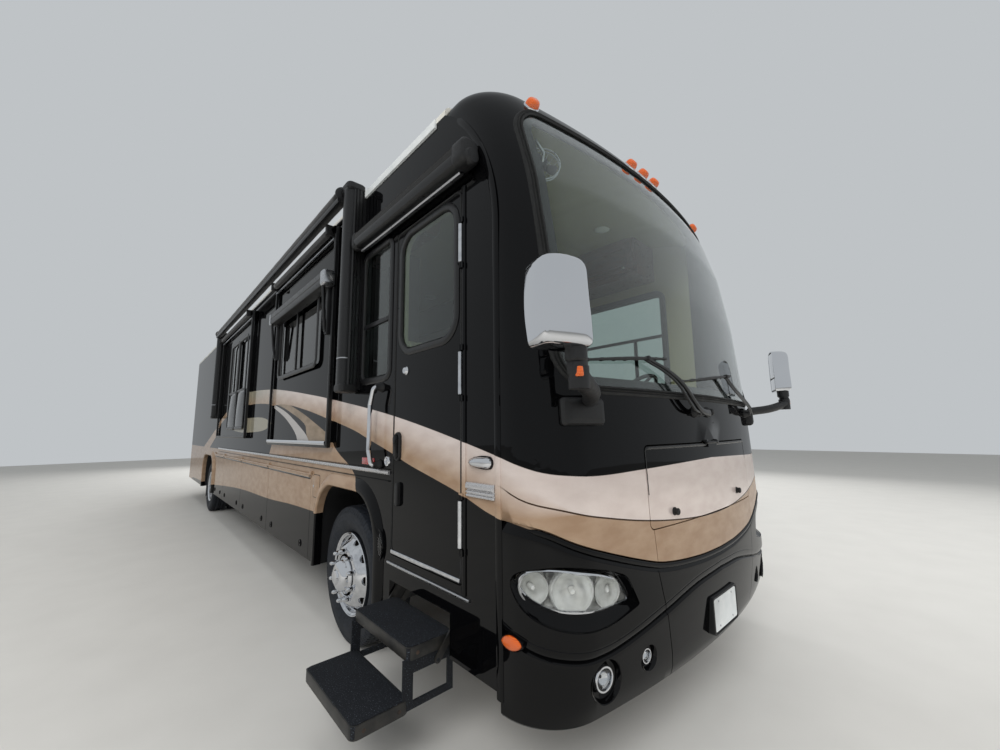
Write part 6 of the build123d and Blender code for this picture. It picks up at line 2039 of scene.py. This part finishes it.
def makeTailLamps():
    bezels, reds, ambers, clears, strip, beads = (Shape() for _ in range(6))
    y0, y1 = rear["lampY"]
    z0, z1 = rear["lampZ"]
    for sign in (-1, 1):
        y = sign * (y0 + y1) / 2
        outline = roundRect(y1 - y0 + 0.03, z1 - z0 + 0.03, 0.03, 6, (y, (z0 + z1) / 2))
        bezels.wrap(outline, onRear, mm(((-18, -2), (-18, 17), (-10, 19.5), (0, 15), (3, 0), (2, -2))))
        for shape, low, top in ((reds, z0 + 0.2, z1), (ambers, z0 + 0.1, z0 + 0.196), (clears, z0, z0 + 0.096)):
            middle = (y, (low + top) / 2)
            panel = roundRect(y1 - y0 - 0.006, top - low - 0.004, 0.014, 5, middle)
            shape.stack(panel, onRear, mm(((-2, 0), (15.5, 0), (21, 3), (24.5, 12), (26, 26))), middle)
    # High brake lamp and clearance lamps under the roof's edge
    strip.slab(roundRect(0.42, 0.045, 0.015, 5, (0.0, 3.3)), onRear, -0.002, 0.014, 0.006)
    for y in (-1.02, -0.32, 0.32, 1.02):
        beads.slab(roundRect(0.1, 0.036, 0.016, 6, (y, 3.305)), onRear, -0.002, 0.016, 0.009)
    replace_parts(reds.make("tail_lamp_red_lenses", redLens, "tail_lamps", 50), "tail_lamps")
    makeAll("tail_lamps", ("tail_lamp_bezels", bezels, chrome, 40), ("tail_lamp_amber_lenses", ambers, amberLens, 50),
            ("tail_lamp_clear_lenses", clears, lensGlass, 50), ("high_brake_lamp", strip, redLens, 40),
            ("rear_clearance_lamps", beads, redLens, 50))


def makeEngineLouvres():
    # Pressed louvres across the engine door, in its frame
    body = "engine_door"
    section = mm(((-2, 0), (11, 4), (13, 7.5), (11, 11), (-2, 26), (-4, 20)))
    frames, latches = Shape(), Shape()
    for side, middle in zip(("right", "left"), rear["grilleY"]):
        slatRow(f"engine_door_louvres_{side}", section, (middle - 0.235, middle + 0.235),
                lambda a, b, c: onRear(a, 0.72 + c, b), 15, (0.0, 0.0, 0.034), blackPowder, body)
        frames.wrap(roundRect(0.5, 0.56, 0.02, 5, (middle, 0.98)), onRear,
                    mm(((-12, -1), (-12, 12), (-4, 15), (6, 12), (8, -1))))
    for y in (-0.5, 0.5):
        latches.lathe(onRear(y, 0.63, 0.0), (-1, 0, 0),
                      mm(((-2, 0), (-2, 30), (5, 31), (8, 26), (4, 22), (4, 10), (9, 8), (9, 0))), 32)
    makeAll(body, ("engine_door_grille_frames", frames, blackPowder, 40), ("engine_door_latches", latches, chrome, 40),
            body=body)


def makeRearTrim():
    # Blank plate over the door, belt moulding round the corners, mud flap behind the drive wheels
    holder, sheet, bumper, marks, eye, flap = (Shape() for _ in range(6))
    middle = rear["plate"]
    holder.stack(roundRect(0.34, 0.19, 0.016, 5, middle), onRear,
                 mm(((-2, 0), (10, 0), (14, 4), (13, 12), (8, 14))), middle)
    sheet.stack(roundRect(0.305, 0.155, 0.012, 5, middle), onRear,
                mm(((7.5, 0), (10, 0), (11, 1.2), (11, 3.5), (10, 5))), middle)
    for y in (-0.1, 0.1):
        holder.box((rear["x"] - 0.022, rear["x"] + 0.001), (y - 0.03, y + 0.03), (1.685, 1.705), 0.005)
    section = mm(((-2, 455), (12, 458), (20, 470), (21, 500), (16, 515), (-2, 520)))
    bumper.strip(section, onRear, [-1.12 + 2.24 * i / 40 for i in range(41)])
    for y in (-0.9, 0.9):
        marks.lathe(onRear(y, 0.62, 0.0), (-1, 0, 0),
                    mm(((-2, 0), (-2, 40), (5, 41), (9, 37), (10.5, 20), (11, 0))), 36)
    eye.slab(roundRect(0.14, 0.075, 0.025, 6, (0.0, 3.18)), onRear, -0.002, 0.028, 0.014)
    eye.lathe(onRear(0.0, 3.17, 0.027), (-1, 0, 0), mm(((0, 0), (0, 18), (1, 18), (1.5, 12), (2, 0))), 24)
    rings = []
    for i in range(33):
        y, sway = -1.2 + 2.4 * i / 32, 0.004 * math.sin(i * 0.9)
        rings.append([Vector((x + sway * share, y, z)) for x, share, z in
                      ((-7.8, 1, 0.2), (-7.806, 1, 0.2), (-7.806, 0.4, 0.42), (-7.806, 0, 0.62), (-7.8, 0, 0.62),
                       (-7.8, 0.4, 0.42))])
    flap.rings(rings)
    makeAll("rear_cap", ("rear_plate_holder", holder, blackMoulded, 35), ("rear_plate_blank", sheet, plateEnamel, 35),
            ("rear_bumper_moulding", bumper, blackMoulded, 40), ("rear_reflectors", marks, redLens, 50),
            ("rear_view_camera", eye, blackMoulded, 40))
    makeAll("chassis_frame", ("mud_flap", flap, rubber, 40))


makeTailLamps()
makeEngineLouvres()
makeRearTrim()
print("rear made")


# Cab interior, seen through the windshield
cab = {
    "linerZ": 3.352, "linerHalf": 1.22, "linerBend": 0.95, "dashRear": 1.465, "dashTop": 1.682, "dashHalf": 1.02,
    "binnacleY": 0.62, "seats": ((0.84, 0.62), (0.27, -0.64)), "seatTop": 1.52, "seatSize": 0.54, "backTop": 2.33,
    "padThick": 0.13, "voxel": 0.009, "quickVoxel": 0.02, "pressure": 4.0, "frames": 20,
    "lamps": ((0.35, 0.0), (1.15, -0.55), (1.15, 0.55), (-1.5, 0.4), (-1.5, -0.4), (-3.5, 0.0)),
    "dials": ((-0.13, 1.655, 0.05), (0.0, 1.665, 0.058), (0.13, 1.655, 0.05), (-0.07, 1.585, 0.026),
              (0.07, 1.585, 0.026)),
}
# Inner window garnish as (away from the opening, outward), in millimetres
garnishSection = mm(((-14, 20), (-16, -8), (-8, -14), (30, -13), (42, -4), (43, 2)))


def makeHeadliner():
    # Padded ceiling panels with sewn joints, turned down to the windshield's head
    liner, lamps = Shape(), Shape()
    across, seams, seamDepth = 44, (8, 22, 36), 0.006
    bend, half = cab["linerBend"], cab["linerHalf"]
    stations = [(x, 0.0) for x in (-5.9, -5.0, -4.0, -3.0, -2.0, -1.0, -0.3, -0.02)]
    stations += [(0.0, seamDepth), (0.02, 0.0), (0.4, 0.0), (0.68, 0.0), (0.7, seamDepth), (0.72, 0.0), (bend, 0.0)]
    sides = []
    for side in (0.0, 0.012):
        columns = [(y, seamDepth if side and i in seams else 0.0) for i, y in enumerate(spread(-half, half, across))]
        grid = [[Vector((x, y, cab["linerZ"] - side + (dip + groove if side else 0.0))) for y, groove in columns]
                for x, dip in stations]
        for t in (0.3, 0.6, 0.85, 1.0):
            row = []
            for y, groove in columns:
                front = capAt(max(-1.2, min(1.2, y)), 3.235, -0.075)
                drop = (cab["linerZ"] - 3.222) * t ** 2
                row.append(Vector((bend + (front.x - bend) * t, y, cab["linerZ"] - drop - side + groove)))
            grid.append(row)
        sides.append(grid)
    liner.rings([top + low[::-1] for top, low in zip(*sides)])
    for x, y in cab["lamps"]:
        lamps.lathe((x, y, cab["linerZ"] - 0.011), -up,
                    mm(((0, 0), (0, 75), (8, 73), (16, 60), (19, 30), (19.5, 0))), 36)
    makeAll("roof", ("cab_headliner", liner, headliner, 50), ("ceiling_lamps", lamps, whiteShroud, 50))


def makeCabinets():
    wood, pulls, inner, garnish = Shape(), Shape(), Shape(), Shape()
    section = mm(((1238, 2965), (1238, 3335), (860, 3335), (860, 3310), (900, 2990), (925, 2965)))
    knob = mm(((0, 0), (0, 6), (10, 6), (16, 14), (24, 15), (29, 10), (29, 0)))
    for sign, x0, x1, count in ((1, -0.2, 1.28, 2), (-1, -0.2, 0.66, 1)):
        wood.strip(section, sidePoint(sign, 0.0), (x0, x1))
        span = (x1 - x0 - 0.04) / count

        def onDoor(a, b, out):
            return Vector((a, sign * (0.862 + (3.31 - b) * 0.118 - out), b))

        for k in range(count):
            d0 = x0 + 0.02 + span * k + 0.012
            d1 = d0 + span - 0.024
            middle = ((d0 + d1) / 2, 3.15)
            wood.slab(roundRect(d1 - d0, 0.27, 0.012, 4, middle), onDoor, 0.0, 0.019, 0.006)
            wood.wrap(roundRect(d1 - d0 - 0.12, 0.15, 0.03, 5, middle), onDoor,
                      mm(((-4, 18), (0, 24), (8, 26), (14, 22), (15, 18))))
            for x in (d0 + 0.09, d1 - 0.09):
                pulls.lathe(onDoor(x, 3.04, 0.019), (0, -sign, 0), knob, 20)
    # Inner window garnishes: moulded frames on the linings
    for sign, outline in ((1, rectBetween(0.15, 1.33, 1.86, 2.83, 0.06, 7)),
                          (-1, rectBetween(0.23, 0.66, 1.87, 2.83, 0.06, 7))):
        inner.wrap(outline, sidePoint(sign, 1.245), garnishSection)
    garnish.wrap(roundRect(0.6, 0.775, 0.13, 9, (1.1, 2.3875)), sidePoint(-1, 1.245), garnishSection)
    makeAll("roof", ("overhead_cabinets", wood, cherryWood, 30), ("cabinet_knobs", pulls, satinAluminium, 50))
    makeAll("left_wall", ("window_garnishes", inner, blackMoulded, 40))
    makeAll("entry_door", ("entry_door_garnish", garnish, headliner, 40), body="entry_door")


def makeDash():
    # One skinned moulding across the cab, hooded over the driver's dials
    skin, dials, rims, vents = Shape(), Shape(), Shape(), Shape()
    top, binnacle = cab["dashTop"], cab["binnacleY"]
    rings = []
    for y in spread(-cab["dashHalf"], cab["dashHalf"], 64):
        front = capAt(y, 1.66, -0.1).x
        hood = math.exp(-((y - binnacle) / 0.24) ** 4)
        shelf = math.exp(-((y + 0.05) / 0.3) ** 4)
        rear = cab["dashRear"] + 0.03 * (1 - hood) + 0.02 * shelf
        rings.append([Vector((x, y, z)) for x, z in (
            (rear + 0.12, 1.402), (rear + 0.035, 1.41), (rear + 0.012, 1.44), (rear + 0.03, 1.52),
            (rear + 0.042, 1.6), (rear + 0.02, 1.66 + 0.055 * hood), (rear, top - 0.014 + 0.072 * hood),
            (rear + 0.008, top - 0.002 + 0.078 * hood), (rear + 0.03, top + 0.003 + 0.08 * hood),
            (rear + 0.1, top + 0.001 + 0.07 * hood), (rear + 0.19, top - 0.004 + 0.02 * hood),
            (front - 0.09, top - 0.012), (front - 0.02, top - 0.02), (front, top - 0.034), (front, top - 0.09),
            (front - 0.05, 1.42), (front - 0.08, 1.402))])
    skin.rings(rings)
    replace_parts(skin.make("dash_moulding", dashSkin, "dashboard", 40), "dashboard")
    for offset, height, radius in cab["dials"]:
        place = (cab["dashRear"] + 0.032, binnacle + offset, height)
        rims.lathe(place, (-1, 0, 0), [(-0.02, radius * 1.1), (0.008, radius * 1.1), (0.013, radius * 1.04),
                                       (0.011, radius * 0.97), (-0.002, radius * 0.95), (-0.02, radius * 0.95)],
                   40, True)
        dials.lathe(place, (-1, 0, 0), [(-0.02, 0.0), (-0.02, radius * 0.97), (0.0, radius * 0.97), (0.001, 0.0)], 40)
    for y in (-0.88, -0.42, 0.28, 0.94):
        for i in range(6):
            z = 1.545 + i * 0.012
            vents.box((1.49, 1.535), (y - 0.055, y + 0.055), (z, z + 0.005), 0.0012, 1)
        vents.wrap(roundRect(0.13, 0.09, 0.012, 4, (y, 1.577)), lambda a, b, out: Vector((1.508 - out, a, b)),
                   mm(((-4, -20), (-4, 12), (4, 14), (10, 10), (11, -20))))
    makeAll("dashboard", ("dash_dial_rims", rims, satinAluminium, 50), ("dash_dials", dials, plateEnamel, 50),
            ("dash_vents", vents, blackMoulded, 35))


def makeFan():
    # Round fan near the head of the windshield
    fan, cage = Shape(), Shape()
    centre = capAt(-0.95, 2.98, -0.16)
    axis = Vector((-0.75, 0.55, -0.1)).normalized()
    side = axis.orthogonal().normalized()
    other = axis.cross(side)

    def around(turn):
        return math.cos(turn) * side + math.sin(turn) * other

    fan.lathe(centre, axis, mm(((-35, 0), (-35, 28), (10, 32), (20, 26), (24, 0))), 28)
    for turn in circle(3):
        out, lead = around(turn), -math.sin(turn) * side + math.cos(turn) * other
        thick = axis * 0.0012
        blade = []
        for r, chord, twist in ((0.026, 0.022, 0.9), (0.05, 0.04, 0.7), (0.075, 0.046, 0.5), (0.088, 0.03, 0.4)):
            reach = (lead * math.cos(twist) + axis * math.sin(twist)) * chord / 2
            mid = centre + out * r
            blade.append([mid - reach - thick, mid + reach - thick, mid + reach + thick, mid - reach + thick])
        fan.rings(blade)
    for radius, depth, wire in ((0.1, 0.0, 0.004), (0.07, 0.026, 0.0018), (0.04, 0.032, 0.0018), (0.1, -0.02, 0.004)):
        cage.tube([centre + axis * depth + around(turn) * radius for turn in circle(40)], wire, 8, closed=True)
    for turn in circle(16):
        cage.tube([centre + around(turn) * r + axis * a for r, a in ((0.1, 0.0), (0.07, 0.026), (0.03, 0.033))],
                  0.0014, 6)
    cage.tube([centre - axis * 0.03, centre - axis * 0.06 + Vector((0, 0, 0.03)), capAt(-1.0, 3.1, -0.1)], 0.009, 12)
    makeAll("dashboard", ("cab_fan", fan, blackMoulded, 40), ("cab_fan_cage", cage, satinAluminium, 50))


def paddedBlock(name, width, depth, thick, crown, taper=1.0, bend=0.0, seams=()):
    # A pad in its own frame: width along x, depth along y, thickness along z. Blown up as cloth.
    shape = Shape()
    rings = []
    for t in spread(0, 1, 12):
        edge = abs(2 * t - 1)
        half = width / 2 * (1 + (taper - 1) * t) * (1 - edge ** 5 * 0.12)
        rise = bend * math.sin(math.pi * t)
        outline = roundRect(2 * half, thick, min(0.04, thick * 0.42), 5)
        rings.append([Vector((a, -depth / 2 + depth * t, b * (1 - edge ** 6 * 0.25) + rise)) for a, b in outline])
    shape.rings(rings)
    piece = shape.raw(name)
    faceOutward(piece)
    grid = piece.modifiers.new("voxels", "REMESH")
    grid.mode = "VOXEL"
    grid.voxel_size = cab["voxel"]
    applyModifiers(piece)
    inflate(piece, crown)
    subdivide = piece.modifiers.new("finish", "SUBSURF")
    subdivide.levels = subdivide.render_levels = 1
    applyModifiers(piece)
    reach, depth = 0.022, 0.011
    for way, spot in seams:
        # Sewn channel: pull the skin in along a line
        for v in piece.data.vertices:
            away = abs((v.co.y if way == "y" else v.co.x) - spot)
            if away < reach and v.co.z > 0:
                v.co.z -= depth * (1 - away / reach) ** 2
    return piece


def inflate(piece, limit):
    # Cloth under light pressure with gravity off; no point may move further than the limit
    rest = [v.co.copy() for v in piece.data.vertices]
    cloth = piece.modifiers.new("cloth", "CLOTH")
    cloth.settings.use_pressure = True
    cloth.settings.uniform_pressure_force = cab["pressure"]
    cloth.settings.quality = 5
    cloth.settings.effector_weights.gravity = 0.0
    cloth.point_cache.frame_start = 1
    cloth.point_cache.frame_end = cab["frames"]
    for step in range(1, cab["frames"] + 1):
        bpy.context.scene.frame_set(step)
    applyModifiers(piece)
    bpy.context.scene.frame_set(1)
    for v, start in zip(piece.data.vertices, rest):
        move = v.co - start
        if move.length > limit:
            v.co = start + move.normalized() * limit


def turned(degrees, axis):
    return Matrix.Rotation(math.radians(degrees), 4, axis)


def placePad(source, name, matrix):
    mesh = source.data.copy()
    mesh.name = name
    mesh.transform(matrix)
    paint(mesh, seatLeather)
    piece = finishPiece(newPiece(name, mesh), mainBody, 60)
    return piece


def makeSeats():
    # Captain's chairs: seat, back, head pad and arm pads, on a boxed pedestal
    size, top, back = cab["seatSize"], cab["seatTop"], cab["backTop"]
    cushion = paddedBlock("padCushion", size - 0.05, size - 0.05, cab["padThick"] - 0.03, 0.02, 0.96, 0.0,
                          (("x", -0.15), ("x", 0.15)))
    rest = paddedBlock("padBack", size - 0.06, back - top - 0.1, 0.085, 0.02, 0.86, -0.012,
                       (("y", -0.12), ("y", 0.08), ("x", -0.15), ("x", 0.15)))
    arm = paddedBlock("padArm", 0.06, 0.34, 0.045, 0.01, 0.9)
    pedestals, shells = Shape(), Shape()
    for number, (x, y) in enumerate(cab["seats"], 1):
        seat = placePad(cushion, f"seat_{number}_cushion",
                        Matrix.Translation((x, y, top - 0.062)) @ turned(-90, "Z"))
        if number == 1:
            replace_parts(seat, "cab_seats")
        place = Matrix.Translation((x - size / 2 + 0.085, y, (top + back) / 2 + 0.02))
        placePad(rest, f"seat_{number}_back", place @ turned(-7, "Y") @ turned(90, "Z") @ turned(90, "X"))
        for side, sign in (("right", -1), ("left", 1)):
            armY = y + sign * (size / 2 - 0.025)
            placePad(arm, f"seat_{number}_arm_{side}",
                     Matrix.Translation((x - 0.02, armY, top + 0.16)) @ turned(-90, "Z"))
            shells.tube([(x + a, armY, top + b) for a, b in
                         ((-0.18, -0.02), (-0.17, 0.11), (-0.1, 0.138), (0.08, 0.138))], 0.011, 12)
        shells.box((x - 0.2, x + 0.21), (y - 0.2, y + 0.2), (top - 0.15, top - 0.118), 0.008)
        shells.box((x - size / 2 + 0.022, x - size / 2 + 0.05), (y - 0.17, y + 0.17), (top - 0.14, back - 0.25), 0.01)
        base = ((0.19, 1.203), (0.19, 1.215), (0.13, 1.235), (0.11, 1.3), (0.11, 1.34), (0.14, 1.372))
        pedestals.rings([[Vector((x + a, y + b, z)) for a, b in roundRect(2 * half, 2 * half, 0.03, 5)]
                         for half, z in base])
    makeAll("cab_seats", ("seat_frames", shells, blackPowder, 40), ("seat_pedestals", pedestals, blackMoulded, 35))
    for piece in (cushion, rest, arm):
        bpy.data.objects.remove(piece)


makeHeadliner()
makeCabinets()
makeDash()
makeFan()
makeSeats()
print("cab made")


# Stage: pale floor, a bright room for reflections and soft lamps
stage = {
    "floorSize": 60.0, "floorColour": "cfcdc8", "speckColour": "d3d1cc", "skyColour": "dfe3e6",
    "backColour": "bfc3c6",
}
lamps = (
    # name, place, target, power, size
    ("keyLamp", (6, -9, 9), (-2, 0, 1.5), 950, (7, 7)),
    ("fillLamp", (9, 6, 6), (0, 0, 1.5), 400, (8, 8)),
    ("topLamp", (-4, 0, 12), (-4, 0, 0), 600, (14, 8)),
    ("leftLamp", (-4, 12, 6), (-4, 0, 1.5), 500, (12, 6)),
    ("rearLamp", (-19, 3, 6), (-9, 0, 1.5), 550, (8, 6)),
)
# The camera was fitted to the photograph with the wheels, bays and nose as cues
camera = {"place": (3.081, -2.512, 1.507), "yaw": 42.39, "pitch": 7.90, "roll": 0.71, "focal": 402.5, "width": 1000}


def addThing(name, data):
    thing = bpy.data.objects.new(name, data)
    bpy.context.scene.collection.objects.link(thing)
    return thing


def makeStage():
    material, tree, output, place = newMaterial("paleStudioFloor")
    speck = remap(tree, noiseAt(tree, place, 400, 3.0), 0.3, 0.7)
    colour = mixColour(tree, speck, hexColour(stage["floorColour"]), hexColour(stage["speckColour"]))
    surface(tree, output, Base_Color=colour, Roughness=0.9)
    half = stage["floorSize"] / 2
    floor = Shape()
    floor.add([(-half, -half, 0), (half, -half, 0), (half, half, 0), (-half, half, 0)], [(0, 1, 2, 3)])
    floor.raw("studio_floor", [material])

    world = bpy.data.worlds.new("studio")
    bpy.context.scene.world = world
    world.use_nodes = True
    tree = world.node_tree
    tree.nodes.clear()
    output = addNode(tree, "ShaderNodeOutputWorld")
    path = addNode(tree, "ShaderNodeLightPath")
    seen = math2(tree, "MAXIMUM", path.outputs["Is Camera Ray"], path.outputs["Is Transmission Ray"])
    seen = math2(tree, "MAXIMUM", seen, path.outputs["Is Glossy Ray"])
    lit = addNode(tree, "ShaderNodeBackground", {0: hexColour(stage["skyColour"]), 1: 0.55})
    shown = addNode(tree, "ShaderNodeBackground", {0: hexColour(stage["backColour"]), 1: 1.0})
    mix = addNode(tree, "ShaderNodeMixShader", {0: seen, 1: lit.outputs[0], 2: shown.outputs[0]})
    tree.links.new(mix.outputs[0], output.inputs[0])


def makeLamps():
    # Their shapes don't show in paint, glass and chrome
    for name, place, target, power, size in lamps:
        lamp = bpy.data.lights.new(name, "AREA")
        lamp.shape = "RECTANGLE"
        lamp.size, lamp.size_y = size
        lamp.energy = power
        thing = addThing(name, lamp)
        thing.location = place
        thing.rotation_euler = (Vector(target) - Vector(place)).to_track_quat("-Z", "Y").to_euler()
        thing.visible_glossy = thing.visible_transmission = False


def makeCamera():
    yaw, pitch, roll = (math.radians(camera[key]) for key in ("yaw", "pitch", "roll"))
    ahead = Vector((-math.cos(yaw) * math.cos(pitch), math.sin(yaw) * math.cos(pitch), math.sin(pitch)))
    right = ahead.cross(up).normalized()
    down = ahead.cross(right)
    across = math.cos(roll) * right + math.sin(roll) * down
    below = -math.sin(roll) * right + math.cos(roll) * down
    data = bpy.data.cameras.new("camera")
    data.sensor_fit = "HORIZONTAL"
    data.sensor_width = 36.0
    data.lens = camera["focal"] / camera["width"] * data.sensor_width
    data.clip_end = 200
    thing = addThing("camera", data)
    turn = Matrix((across, -below, -ahead)).transposed().to_4x4()
    thing.matrix_world = Matrix.Translation(camera["place"]) @ turn
    bpy.context.scene.camera = thing


makeStage()
makeLamps()
makeCamera()
bpy.context.scene.view_settings.view_transform = "Standard"
print("stage and camera set")
